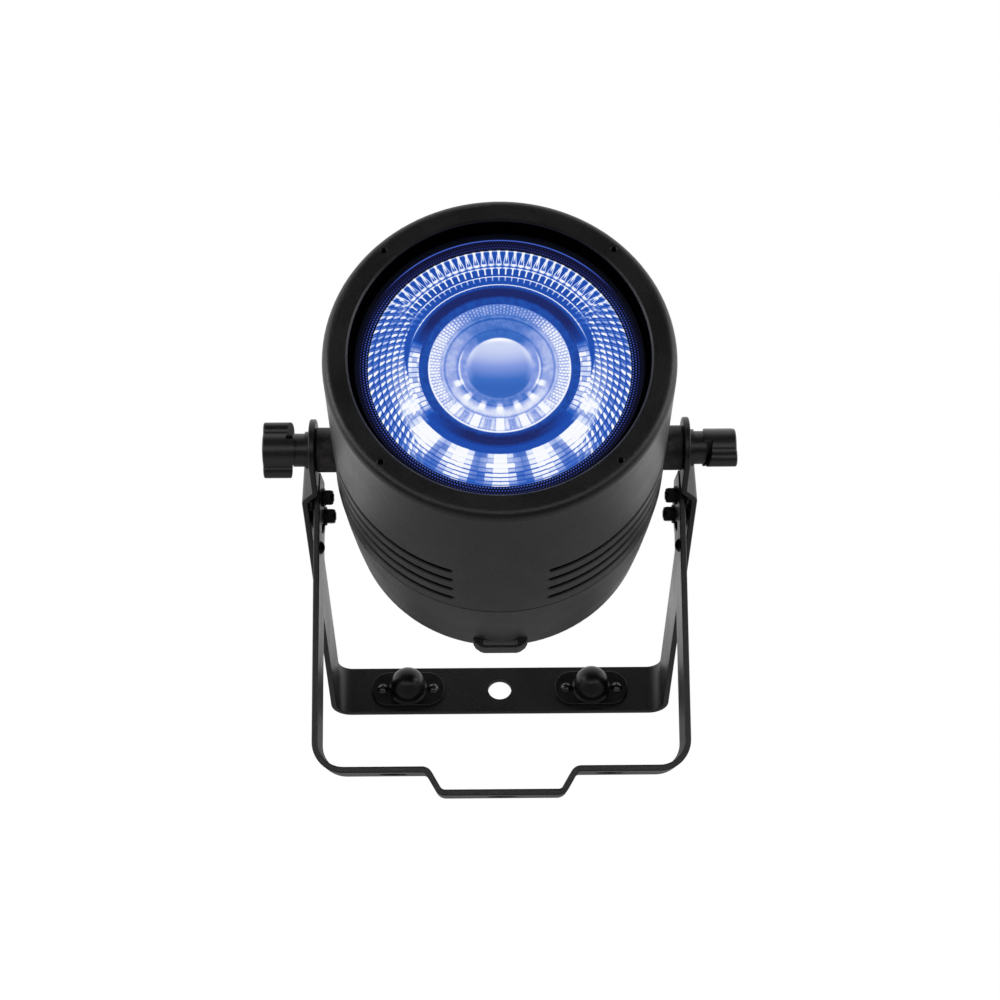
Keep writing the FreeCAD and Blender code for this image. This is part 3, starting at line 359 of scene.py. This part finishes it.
def board_green():
    """Circuit board: green mask with lighter tracks, broken in places."""
    material, tree, shader = new_material("board_green")
    x, _, z = split(tree, head_position(tree))
    tracks = (x * 0.42).fraction().bump_at(0.5, 0.12).larger((z * 0.31).fraction().bump_at(0.5, 0.1))
    breaks = noise(tree, row_position(tree), 90.0, 1.0, 0.4).ramp(0.45, 0.55)
    tone = (tracks * breaks).limited()
    tree.links.new(coloured(tree, tone, [(0.0, srgb(14, 66, 40)), (1.0, srgb(52, 118, 70))]),
                   shader.inputs["Base Color"])
    tree.links.new(tone.ramp(0.0, 1.0, 0.42, 0.3).socket, shader.inputs["Roughness"])
    bumped(tree, shader, tone, 0.00003)
    return material


def pane_glass():
    """Clear pane: nearly invisible, with a soft reflection and a trace of dust."""
    material, tree, shader = new_material("pane_glass")
    dust = noise(tree, row_position(tree), 700.0, 4.0, 0.7)
    colours = [(0.0, srgb(120, 140, 190)), (1.0, srgb(160, 175, 215))]
    tree.links.new(coloured(tree, dust.ramp(0.4, 0.8), colours), shader.inputs["Base Color"])
    tree.links.new(dust.ramp(0.4, 0.8, 0.03, 0.08).socket, shader.inputs["Roughness"])
    shader.inputs["Alpha"].default_value = 0.02
    shader.inputs["Specular IOR Level"].default_value = 0.08
    return material


def lit(tree, shader, colour_socket):
    """The optic glows with the lamp's light in a pattern of painted highlights and shade, and reflects almost
    nothing.
    """
    tree.links.new(colour_socket, shader.inputs["Emission Color"])
    shader.inputs["Emission Strength"].default_value = 1.0
    shader.inputs["Specular IOR Level"].default_value = 0.1
    shader.inputs["Roughness"].default_value = 0.35


# ---- the lit optic ----

DEEP = srgb(20, 30, 92)
RING_BLUE = srgb(20, 66, 160)
FACET_BLUE = srgb(32, 90, 190)
SLATE_BLUE = srgb(82, 116, 196)
PALE_BLUE = srgb(138, 160, 222)
NEAR_WHITE = srgb(226, 235, 255)
WHITE = srgb(252, 253, 255)

# Whole numbers that keep the counts of columns and spokes above zero
COLUMN_START = 500.0
SPOKE_START = 100.0

# Radii of the fine bright lines in the upper facets, in millimetres
FIRST_LINE_R = 57.9
DOTTED_LINE_R = 49.5
SECOND_LINE_R = 45.2
THIRD_LINE_R = 41.1


def near_spoke(angle):
    """Degrees to the nearest spoke; one of them points straight down."""
    return ((angle / SPOKE_STEP + (SPOKE_START + 0.5)).fraction() - 0.5).size() * SPOKE_STEP


def painted_shade_arc(radius, turn):
    """Painted shade: darker blue crescents of the smooth ring above and below the inner lens."""
    above = radius.band(35.4, 39.6, 1.0) * turn.ramp(95, 130)
    below = radius.band(33.6, 38.4, 1.4) * turn.ramp(15, 62, 1.0, 0.0)
    return above + below


def tooth_highlights(radius, edge, chance):
    """Painted highlights of the upper facets: tall pointed teeth, then three fine lines with ticks at the column
    borders.
    """
    reach = (radius * -1.0 + FACET_OUTER_R) / 8.0
    tooth = (edge - reach * 0.14).ramp(0.24, 0.42) * reach.ramp(0.40, 0.90, 1.0, 0.10)
    flank = (edge - 0.36 + reach * reach * 0.30).size().ramp(0.02, 0.09, 1.0, 0.0)
    flank = flank * reach.ramp(0.1, 0.4, 0.0, 0.7) * reach.ramp(0.92, 1.0, 1.0, 0.0)
    arch = (reach.bump_at(0.90, 0.16) * edge.ramp(0.06, 0.30)).larger(flank)
    first_line = radius.bump_at(FIRST_LINE_R, 0.5) * 0.55
    dotted = radius.bump_at(DOTTED_LINE_R, 0.62) * edge.ramp(0.02, 0.36, 0.45, 1.0)
    ticks = edge.ramp(0.34, 0.46) * (radius.band(46.3, 49.6, 0.3) + radius.band(43.2, 45.2, 0.3) * 0.55)
    second_line = radius.bump_at(SECOND_LINE_R, 0.5) * 0.85
    third_line = radius.bump_at(THIRD_LINE_R, 0.42) * 0.95
    light = tooth.larger(arch) * (chance * 0.4 + 0.75)
    return light + first_line + dotted + ticks * 0.9 + second_line + third_line


def feather_highlights(radius, columns, turn):
    """Painted highlights of the side facets: slanting white dashes, each brightest at its outer end."""
    rows = (radius * -1.0 + FACET_OUTER_R + 0.4) / 2.75
    slanted = columns - rows * 0.42
    chance = cell_noise(slanted.tree, slanted.whole(), rows.whole())
    along = rows.fraction()
    middle = along * 0.22 + 0.40
    across = (slanted.fraction() - middle).size()
    dash = (across + along * 0.14).ramp(0.12, 0.40, 1.0, 0.0)
    dash = dash * along.ramp(0.0, 0.18) * along.ramp(0.60, 1.0, 1.0, 0.10)
    thread = (slanted.fraction() - middle - 0.46).size().ramp(0.02, 0.12, 1.0, 0.0) * 0.30
    inner_glow = radius.ramp(54.0, 43.0) * turn.ramp(118, 72) * 0.34
    return dash * (chance * 0.95 + 0.44) + thread + inner_glow


def window_highlights(radius, angle, columns):
    """Painted highlights of the lower facets: bright windows on the spokes, cut by rows that crowd towards the
    rim.
    """
    reach = ((radius * -1.0 + FACET_OUTER_R + 0.2) / 16.6).larger(0.0)
    rows = reach.math("POWER", 0.80) * 8.0
    column_middle = (columns.whole() + 0.5 - COLUMN_START) * (360 / FACET_COLUMNS)
    offset = near_spoke(column_middle)
    drift = near_spoke(angle)
    chance = cell_noise(radius.tree, columns.whole(), rows.whole())
    column_chance = cell_noise(radius.tree, columns.whole(), columns.whole())
    wide = angle.size().ramp(25, 60, 0.0, 2.2)
    past = offset - wide
    window = past.ramp(2.5, 3.2, 1.0, 0.0) * 0.85 + past.ramp(6.2, 7.0, 1.0, 0.0) * 0.36
    window = window * (column_chance * 0.40 + 0.66) * (chance * 0.60 + 0.60)
    spread = angle.size().ramp(20, 48, 0.0, 0.24)
    between = drift.ramp(5.0, 11.0, 0.32, 0.15) + chance * 0.26 + spread * reach.ramp(0.1, 0.6)
    down = rows.fraction()
    broken = (chance * -0.10 + 0.22).larger(0.05)
    gap = (down - broken).ramp(-0.14, 0.06, 0.05, 1.0) * down.ramp(0.74, 0.98, 1.0, 0.12)
    slant_gap = (columns.fraction() - 0.5).size().ramp(0.40, 0.5, 1.0, 0.80)
    fade = reach.ramp(0.0, 0.40, 0.38, 1.0)
    return (window + between) * gap.mixed(1.0, reach.ramp(0.30, 0.85) * 0.80) * slant_gap * fade


def crescent_highlights(radius, turn, columns):
    """Painted highlights: bright cells inside the blue arc on both lower sides."""
    zone = radius.band(35.7, 40.6, 0.45) * turn.band(58, 104, 7.0)
    ribs = (columns.fraction() - 0.5).size().ramp(0.30, 0.46, 1.0, 0.45)
    chance = cell_noise(radius.tree, columns.whole(), (radius / 2.3).whole())
    return zone * ribs * (chance * 0.6 + 0.45)


def facet_light():
    """Ring of facets glowing with the lamp's light, with painted highlights: teeth above, slanting dashes at the
    sides, windows on spokes below, and painted shade in the dark arcs.
    """
    material, tree, shader = new_material("facet_light")
    radius, angle = round_light_axis(tree)
    turn = angle.size()
    columns = turn * (FACET_COLUMNS / 360) + COLUMN_START
    edge = (columns.fraction() - 0.5).size()
    chance = cell_noise(tree, columns.whole(), (radius / 4.0).whole())

    top = turn.ramp(112, 136)
    bottom = (turn + radius.ramp(47, 52, 0.0, 20.0)).ramp(52, 74, 1.0, 0.0)
    side = (top + bottom).flipped().limited()
    light = (tooth_highlights(radius, edge, chance) * top + feather_highlights(radius, columns, turn) * side
             + window_highlights(radius, angle, columns) * bottom)

    arc_outer = turn.ramp(74, 118, 40.2, 44.4)
    facets = (radius - arc_outer).ramp(-0.3, 0.7)
    facets = facets.mixed(radius.ramp(40.6, 41.1), top)
    facets = facets.mixed(radius.ramp(42.0, 42.5), turn.ramp(48, 60, 1.0, 0.0))
    third = turn.ramp(100, 122) * radius.bump_at(THIRD_LINE_R, 0.42) * 0.8
    light = light * facets + crescent_highlights(radius, turn, columns) + third * top.flipped()
    shade = painted_shade_arc(radius, turn) * -0.16
    tone = (light * 0.90 + 0.15 + shade).limited()
    colours = [(0.0, DEEP), (0.13, RING_BLUE), (0.22, FACET_BLUE), (0.36, SLATE_BLUE), (0.52, PALE_BLUE),
               (0.74, NEAR_WHITE), (0.90, WHITE)]
    lit(tree, shader, coloured(tree, tone, colours))
    shader.inputs["Base Color"].default_value = srgb(10, 22, 60)
    return material


def smooth_ring_light():
    """Plain blue ring between the facets and the inner lens, glowing with the lamp's light, with painted shade
    that darkens its top and bottom.
    """
    material, tree, shader = new_material("smooth_ring_light")
    radius, angle = round_light_axis(tree)
    turn = angle.size()
    cloud = noise(tree, head_position(tree), 420.0, 3.0, 0.6)
    tone = (painted_shade_arc(radius, turn) * -0.75 + 0.66 + cloud.ramp(0.35, 0.65, -0.10, 0.10)).limited()
    colours = [(0.0, DEEP), (0.5, srgb(22, 58, 146)), (1.0, srgb(30, 92, 190))]
    lit(tree, shader, coloured(tree, tone, colours))
    shader.inputs["Base Color"].default_value = srgb(8, 18, 50)
    return material


def rim_rib_highlights(radius, columns, side, top):
    """Painted highlights on fine ribs near the inner lens's rim, broken into dots, strongest at the sides."""
    rib = (columns.fraction() - 0.5).size().ramp(0.14, 0.40, 1.0, 0.0)
    ladder = ((radius / 1.55 + columns.whole() * 0.5).fraction() - 0.5).size().ramp(0.15, 0.42, 1.0, 0.25)
    zone = radius.band(26.6, 31.4, 0.7)
    return zone * rib * ladder * (side * 0.50 + top * 0.20 + 0.08)


def lens_spoke_highlights(radius, angle, turn):
    """Painted highlights of the inner lens: soft bright windows, merged into one pale band below the dome."""
    offset = near_spoke(angle)
    lower = turn.ramp(42, 74, 1.0, 0.0)
    outer = offset.ramp(2.6, 4.6, 1.0, 0.0) * radius.band(25.0, 30.6, 0.8) * turn.ramp(32, 54, 1.0, 0.35)
    outer_side = (offset - 6.4).size().ramp(0.8, 2.2, 0.26, 0.0) * radius.band(25.6, 30.4, 0.8)
    inner = offset.ramp(1.6, 6.0, 1.0, 0.0) * radius.bump_at(19.6, 3.4)
    band = radius.bump_at(22.6, 3.6) * 0.30 + radius.band(19.0, 31.0, 1.5) * 0.10
    below = (outer * 0.70 + outer_side + inner * 0.58 + band) * lower
    return below + inner * lower.flipped() * turn.ramp(70, 94, 0.5, 0.0)


def dome_light(radius, height, turn):
    """Painted highlights and shade on the dome: pale cap above, fading to blue below, with a slightly lighter edge
    at the sides.
    """
    fall = (height - radius * radius * 0.012).ramp(-13.0, 10.5, 0.20, 0.80)
    edge = radius.ramp(11.5, 14.6) * turn.band(60, 128, 16) * 0.13
    tip = (radius * -1.0 + 15.1).ramp(0.2, 3.4, 1.0, 0.0) * turn.ramp(140, 176) * 0.30
    return fall + edge + tip


def centre_light():
    """Inner lens: ribbed rim, two rings and a dome that is pale above and blue below, glowing with the lamp's
    light under painted highlights and shade.
    """
    material, tree, shader = new_material("centre_light")
    radius, angle = round_light_axis(tree)
    _, _, height = split(tree, head_position(tree))
    turn = angle.size()
    columns = angle * (RIB_COLUMNS / 360) + COLUMN_START
    side = turn.ramp(35, 75) * turn.ramp(118, 158, 1.0, 0.0)
    top = turn.ramp(118, 158)
    cloud = noise(tree, head_position(tree), 260.0, 3.0, 0.6).ramp(0.35, 0.65, -0.05, 0.05)

    # Painted highlights at the sides of the lens and painted shade at its top
    level = side * 0.17 + top * -0.12 + 0.42 + cloud
    level = level + radius.ramp(23.0, 30.0) * 0.06 - radius.band(15.6, 18.6, 0.6) * 0.06
    fine_rib = ((columns * 2.0).fraction() - 0.5).size().ramp(0.1, 0.4, 0.13, -0.05)
    fine_rib = fine_rib * radius.band(20.2, 24.0, 0.8)
    level = level + rim_rib_highlights(radius, columns, side, top) + fine_rib
    # Painted shade along the two ring grooves, and a painted highlight on the lip outside the outer one
    grooves = radius.bump_at(OUTER_RING_R, 0.8) + radius.bump_at(INNER_RING_R, 0.7)
    level = level - grooves * 0.15 + radius.bump_at(OUTER_RING_R + 1.0, 0.7) * 0.10
    glint = radius.bump_at(INNER_RING_R - 1.0, 0.6) * turn.band(52, 112, 14)
    level = level + glint * 0.34 + lens_spoke_highlights(radius, angle, turn)
    rim_highlight = radius.bump_at(31.35, 0.42) * turn.ramp(80, 112, 1.0, 0.0)
    level = level + rim_highlight * 0.75

    cap = radius.ramp(DOME_R - 0.9, DOME_R + 0.3, 1.0, 0.0)
    level = level.mixed(dome_light(radius, height, turn), cap).limited()
    colours = [(0.0, RING_BLUE), (0.3, srgb(58, 108, 190)), (0.55, srgb(134, 155, 222)),
               (0.85, srgb(220, 227, 248)), (1.0, WHITE)]
    lit(tree, shader, coloured(tree, level, colours))
    shader.inputs["Base Color"].default_value = srgb(16, 34, 80)
    return material


DOT_PITCH = 1.3
DOT_COLUMNS = 290
BORDER_ARC_R = 62.9


def frit_light():
    """Dark border of the pane: glowing dots that thin out towards the throat, a painted violet glow above, and a
    thin blue arc above that is a painted highlight.
    """
    material, tree, shader = new_material("frit_light")
    radius, angle = round_light_axis(tree)
    turn = angle.size()
    rows = radius / DOT_PITCH
    offset = (rows.whole() * 0.5).fraction()
    columns = angle * (DOT_COLUMNS / 360) + COLUMN_START + offset
    dot = ((columns.fraction() - 0.5) * (columns.fraction() - 0.5)
           + (rows.fraction() - 0.5) * (rows.fraction() - 0.5)).math("SQRT").ramp(0.16, 0.40, 1.0, 0.0)
    spread = radius.ramp(58.2, 64.6, 1.0, 0.0)
    # Painted glow round the facets at the top, and a painted highlight along the thin arc
    violet = (radius.ramp(58.0, BORDER_ARC_R, 1.0, 0.7) * turn.ramp(112, 138)
              * radius.ramp(63.0, 63.5, 1.0, 0.0))
    arc = radius.bump_at(BORDER_ARC_R, 0.55) * turn.ramp(118, 146)
    amount = (dot * spread * turn.ramp(112, 138, 0.95, 0.40) + violet * 0.10 + arc * 0.85).limited()
    colours = [(0.0, srgb(2, 2, 6)), (0.25, srgb(20, 20, 66)), (0.55, srgb(46, 62, 150)),
               (1.0, srgb(70, 108, 214))]
    lit(tree, shader, coloured(tree, amount, colours))
    shader.inputs["Base Color"].default_value = srgb(4, 4, 8)
    shader.inputs["Roughness"].default_value = 0.5
    return material


# ---- mesh helpers ----

def piece_from(name, mesh, material, body, smooth=True):
    for polygon in mesh.polygons:
        polygon.use_smooth = smooth
    mesh.materials.append(material)
    piece = bpy.data.objects.new(name, mesh)
    bpy.context.scene.collection.objects.link(piece)
    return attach(piece, body)


LATHE_STEPS = 192


def head_point(radius, angle, depth):
    """Point at a radius in millimetres and an angle from straight down, at a head Y in metres."""
    return HEAD_TO_ROW @ Vector((radius * MM * math.sin(angle), depth, -radius * MM * math.cos(angle)))


def lathe(name, profile):
    """Closed solid of revolution about the light axis, from (head Y in metres, radius in mm) points."""
    mesh = bpy.data.meshes.new(name)
    bm = bmesh.new()
    rings = []
    for depth, radius in profile:
        if radius < 1e-6:
            rings.append([bm.verts.new(HEAD_TO_ROW @ Vector((0, depth, 0)))])
            continue
        angles = [2 * math.pi * step / LATHE_STEPS for step in range(LATHE_STEPS)]
        rings.append([bm.verts.new(head_point(radius, angle, depth)) for angle in angles])
    closed = len(rings[0]) > 1
    pairs = list(zip(rings, rings[1:])) + ([(rings[-1], rings[0])] if closed else [])
    for first, second in pairs:
        for step in range(LATHE_STEPS):
            after = (step + 1) % LATHE_STEPS
            corners = [first[step % len(first)], first[after % len(first)],
                       second[after % len(second)], second[step % len(second)]]
            unique = [vertex for place, vertex in enumerate(corners) if vertex not in corners[:place]]
            bm.faces.new(unique)
    bmesh.ops.recalc_face_normals(bm, faces=bm.faces)
    bm.to_mesh(mesh)
    bm.free()
    return mesh


def optic_depth(radius):
    """Head Y of the optic's front surface at a radius: a very shallow bowl."""
    return OPTIC_FRONT_Y + BOWL_RIM + BOWL_RISE * (FACET_OUTER_R - radius) / (FACET_OUTER_R - CENTRE_R)


def facet_ring():
    """Moulded facets: raised pillows in columns and rows, on a closed ring."""
    mesh = bpy.data.meshes.new("facet_ring")
    bm = bmesh.new()
    width = FACET_INNER_R - FACET_OUTER_R
    radii = [FACET_OUTER_R + width * row / FACET_ROWS for row in range(FACET_ROWS + 1)]
    angles = [2 * math.pi * column / FACET_COLUMNS for column in range(FACET_COLUMNS)]
    grid = [[bm.verts.new(head_point(radius, angle, optic_depth(radius))) for angle in angles]
            for radius in radii]
    lift = LIGHT_AXIS * FACET_RISE
    for row in range(FACET_ROWS):
        for column in range(FACET_COLUMNS):
            after = (column + 1) % FACET_COLUMNS
            corners = [grid[row][column], grid[row][after], grid[row + 1][after], grid[row + 1][column]]
            centre = sum((vertex.co for vertex in corners), Vector()) / 4
            inner = [bm.verts.new(vertex.co.lerp(centre, FACET_INSET) + lift) for vertex in corners]
            bm.faces.new(inner)
            for side in range(4):
                following = (side + 1) % 4
                bm.faces.new([corners[side], corners[following], inner[following], inner[side]])
    outer_back = [bm.verts.new(head_point(FACET_OUTER_R, angle, OPTIC_BACK_Y)) for angle in angles]
    inner_back = [bm.verts.new(head_point(FACET_INNER_R, angle, OPTIC_BACK_Y)) for angle in angles]
    for column in range(FACET_COLUMNS):
        after = (column + 1) % FACET_COLUMNS
        bm.faces.new([grid[0][column], outer_back[column], outer_back[after], grid[0][after]])
        bm.faces.new([grid[-1][column], grid[-1][after], inner_back[after], inner_back[column]])
        bm.faces.new([outer_back[column], inner_back[column], inner_back[after], outer_back[after]])
    bmesh.ops.recalc_face_normals(bm, faces=bm.faces)
    bm.to_mesh(mesh)
    bm.free()
    return mesh


def ring_profile(outer, inner, front, back):
    """Closed section of a ring; front gives head Y for a radius."""
    return [(front(outer), outer), (front(inner), inner), (back, inner), (back, outer)]


def centre_profile():
    """Inner lens section from its rim to the dome's top."""
    base = optic_depth(CENTRE_R)
    points = [(OPTIC_BACK_Y, 0.0), (OPTIC_BACK_Y, CENTRE_R - 0.1), (base + 0.0004, CENTRE_R - 0.1),
              (base - RIDGE_DIP, CENTRE_R - 0.6), (base, CENTRE_R - 1.1), (base + 0.0002, 28.0)]
    for ring_r in (OUTER_RING_R, INNER_RING_R):
        points += [(base - RIDGE_DIP, ring_r + RIDGE_HALF), (base + RIDGE_DEPTH, ring_r),
                   (base - RIDGE_DIP, ring_r - RIDGE_HALF)]
    foot = base + 0.0006
    points += [(base + 0.0004, DOME_R + 1.0), (foot, DOME_R)]
    for step in range(1, DOME_STEPS):
        slope = math.pi / 2 * step / DOME_STEPS
        points.append((foot - DOME_CROWN * math.sin(slope), DOME_R * math.cos(slope)))
    points.append((foot - DOME_CROWN, 0.0))
    return points


def build_optic():
    """The lit optic replaces the plain CAD discs, within their space."""
    facets = piece_from("facet_ring", facet_ring(), facet_light(), "head", smooth=False)
    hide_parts("facet_lens")
    profile = ring_profile(FACET_INNER_R - 0.05, CENTRE_R + 0.05, optic_depth, OPTIC_BACK_Y)
    ring = lathe("smooth_ring", profile)
    piece_from("smooth_ring", ring, smooth_ring_light(), "head", smooth=False)
    centre = piece_from("inner_lens", lathe("inner_lens", centre_profile()), centre_light(), "head")
    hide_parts("centre_lens")
    front = PANE_BACK_Y - BORDER_INSET
    profile = ring_profile(BORDER_OUTER_R, FACET_OUTER_R + 0.02, lambda radius: front, front + BORDER_THICK)
    border = lathe("pane_border", profile)
    piece_from("pane_border", border, frit_light(), "head", smooth=False)


# ---- finishes for the CAD nodes ----

def finish_cad_nodes():
    """Gives each CAD node the finish of its material slot; the quick locks' rivets have one of their own."""
    coat = grained("bracket_coat", srgb(8, 8, 9), srgb(20, 20, 21), 0.36, gloss=0.45)
    knob = grained("knob_plastic", srgb(12, 12, 13), srgb(22, 22, 23), 0.34, 2600.0, 0.00005, 0.55)
    rubber = grained("seal_rubber", srgb(12, 12, 12), srgb(24, 24, 24), 0.72, 1800.0, 0.00003, 0.25)
    button = grained("button_rubber", srgb(52, 52, 54), srgb(70, 70, 72), 0.6, 2000.0, 0.00003, 0.3)
    plastic = grained("inner_plastic", srgb(18, 18, 19), srgb(32, 32, 33), 0.5, 1500.0, 0.00003, 0.4)
    socket = grained("socket_plastic", srgb(16, 16, 17), srgb(28, 28, 29), 0.38, 2200.0, 0.00003, 0.5)
    blue = grained("power_blue", srgb(24, 58, 138), srgb(38, 78, 160), 0.36, 2200.0, 0.00003, 0.5)
    grey = grained("power_grey", srgb(120, 122, 124), srgb(146, 148, 150), 0.4, 2200.0, 0.00003, 0.5)
    black_steel = plated("black_steel", srgb(14, 14, 15), srgb(34, 34, 35), 0.34, metallic=0.75)
    rivet = plated("rivet_steel", srgb(40, 40, 42), srgb(104, 104, 106), 0.20)
    zinc = plated("zinc_plate", srgb(150, 152, 156), srgb(198, 200, 204), 0.28)
    anodised = plated("black_anodised", srgb(10, 10, 11), srgb(22, 22, 23), 0.46, metallic=0.4)
    mirror = plated("mirror_coat", srgb(205, 208, 214), srgb(232, 234, 238), 0.1)
    brass = plated("contact_brass", srgb(176, 146, 84), srgb(214, 186, 118), 0.24)
    panel = grained("panel_coat", srgb(20, 20, 21), srgb(32, 32, 33), 0.36, 3000.0, 0.00002, 0.45)
    phosphor = grained("phosphor", srgb(212, 178, 60), srgb(238, 208, 96), 0.35, 1200.0, 0.00005, 0.5)
    display = grained("display_pane", srgb(6, 8, 12), srgb(10, 12, 18), 0.1, 300.0, 0.000005, 0.6)
    finishes = {
        "bracket_coat": coat, "housing_coat": housing_coat(), "lock_cover": glossy_cover(),
        "black_fastener": black_steel, "zinc_fastener": zinc, "front_pane": pane_glass(),
        "seal_rubber": rubber, "optic_plastic": plastic, "reflector_metal": mirror, "sink_metal": anodised,
        "board": board_green(), "led_yellow": phosphor, "inner_plastic": plastic,
        "boss_metal": mottled_casting(), "knob_plastic": knob, "panel_coat": panel, "socket_plastic": socket,
        "power_blue": blue, "power_grey": grey, "contact": brass, "button_rubber": button,
        "display_pane": display,
    }
    slots = {part["node"]: part["material_slot"] for part in frame["record"]["subparts"]}
    for name, node in frame["nodes"].items():
        node.data.materials.clear()
        node.data.materials.append(rivet if name == "quick_lock_rivets" else finishes[slots[name]])


# ---- studio ----

# Camera turned about the head's pivot; distances in metres, lens and sensor in millimetres
CAMERA_DISTANCE = 0.9433
CAMERA_PITCH = math.radians(10.3)
CAMERA_YAW = math.radians(-0.25)
CAMERA_ROLL = math.radians(-0.35)
PIVOT_RISE = 0.0476
FOCAL_LENGTH = 69.8
SENSOR_WIDTH = 36.0
SHIFT_UP = 0.0467
FLOOR_HALF = 6.0
LIGHT_AIM = (0, 0, 0.16)
LIGHT_SIZE = 0.7


def build_camera():
    data = bpy.data.cameras.new("camera")
    data.lens = FOCAL_LENGTH
    data.sensor_width = SENSOR_WIDTH
    data.shift_y = SHIFT_UP
    data.clip_start = 0.05
    camera = bpy.data.objects.new("camera", data)
    bpy.context.scene.collection.objects.link(camera)
    forward = Vector((0, math.cos(CAMERA_PITCH), -math.sin(CAMERA_PITCH)))
    up = Vector((0, math.sin(CAMERA_PITCH), math.cos(CAMERA_PITCH)))
    place = forward * -CAMERA_DISTANCE - up * PIVOT_RISE
    camera.matrix_world = (Matrix.Translation(PIVOT) @ Matrix.Rotation(CAMERA_YAW, 4, "Z")
                           @ Matrix.Translation(place) @ Matrix.Rotation(math.pi / 2 - CAMERA_PITCH, 4, "X")
                           @ Matrix.Rotation(CAMERA_ROLL, 4, "Z"))
    bpy.context.scene.camera = camera


def seen_directly(tree, seen, otherwise):
    """A white sweep to the camera; what lights the object is a number from another field."""
    camera_ray = Field(tree.nodes.new("ShaderNodeLightPath").outputs["Is Camera Ray"])
    return otherwise + (otherwise * -1.0 + seen) * camera_ray


def build_floor():
    """White sweep that is bright behind the object and falls off in front; the darker patch under it is a painted
    shadow of the object in the light it gives.
    """
    material, tree, shader = new_material("pale_floor")
    x, y, _ = split(tree, row_position(tree))
    away = (x * x + (y - 40.0) * (y - 40.0)).math("SQRT")
    tone = noise(tree, row_position(tree), 3.0, 2.0, 0.5).ramp(0.3, 0.7, 0.97, 1.03)
    # Painted shadow: the floor's light falls off near the point under the head
    level = (y.ramp(-420, -60, 0.06, 0.95) * away.ramp(60, 420, 0.30, 1.0)) * tone
    tree.links.new(seen_directly(tree, 1.0, level).socket, shader.inputs["Emission Strength"])
    shader.inputs["Emission Color"].default_value = (1, 1, 1, 1)
    shader.inputs["Base Color"].default_value = srgb(10, 10, 10)
    shader.inputs["Roughness"].default_value = 0.9
    shader.inputs["Specular IOR Level"].default_value = 0.0
    mesh = bpy.data.meshes.new("floor")
    corners = [(side * FLOOR_HALF, end * FLOOR_HALF, 0) for side, end in ((-1, -1), (1, -1), (1, 1), (-1, 1))]
    mesh.from_pydata(corners, [], [(0, 1, 2, 3)])
    mesh.materials.append(material)
    floor = bpy.data.objects.new("floor", mesh)
    bpy.context.scene.collection.objects.link(floor)


def area_light(name, place, power):
    data = bpy.data.lights.new(name, "AREA")
    data.shape = "DISK"
    data.size = LIGHT_SIZE
    data.energy = power
    light = bpy.data.objects.new(name, data)
    light.location = place
    light.rotation_euler = (Vector(LIGHT_AIM) - Vector(place)).to_track_quat("-Z", "Y").to_euler()
    bpy.context.scene.collection.objects.link(light)


def build_light():
    """Bright backdrop and sides, a dim room in front with one low wide soft box."""
    world = bpy.data.worlds.new("studio")
    world.use_nodes = True
    tree = world.node_tree
    background = tree.nodes["Background"]
    x, y, z = split(tree, tree.nodes.new("ShaderNodeTexCoord").outputs["Generated"], 1.0)
    behind = y.ramp(-0.25, 0.40) * 0.95
    sides = x.size().ramp(0.55, 0.90) * 0.60 * z.ramp(0.75, 0.95, 1.0, 0.3)
    soft_box = z.bump_at(0.33, 0.20) * (y * -1.0).ramp(0.2, 0.6) * 2.2
    level = behind + sides.larger(soft_box) + 0.06
    tree.links.new(seen_directly(tree, 1.0, level).socket, background.inputs["Strength"])
    background.inputs["Color"].default_value = (1, 1, 1, 1)
    bpy.context.scene.world = world
    area_light("left_key", (-1.3, -0.5, 0.9), 5.0)
    area_light("right_fill", (1.3, -0.4, 0.8), 3.5)
    bpy.context.scene.view_settings.view_transform = "Standard"


build_camera()
build_floor()
build_light()
finish_cad_nodes()
build_optic()
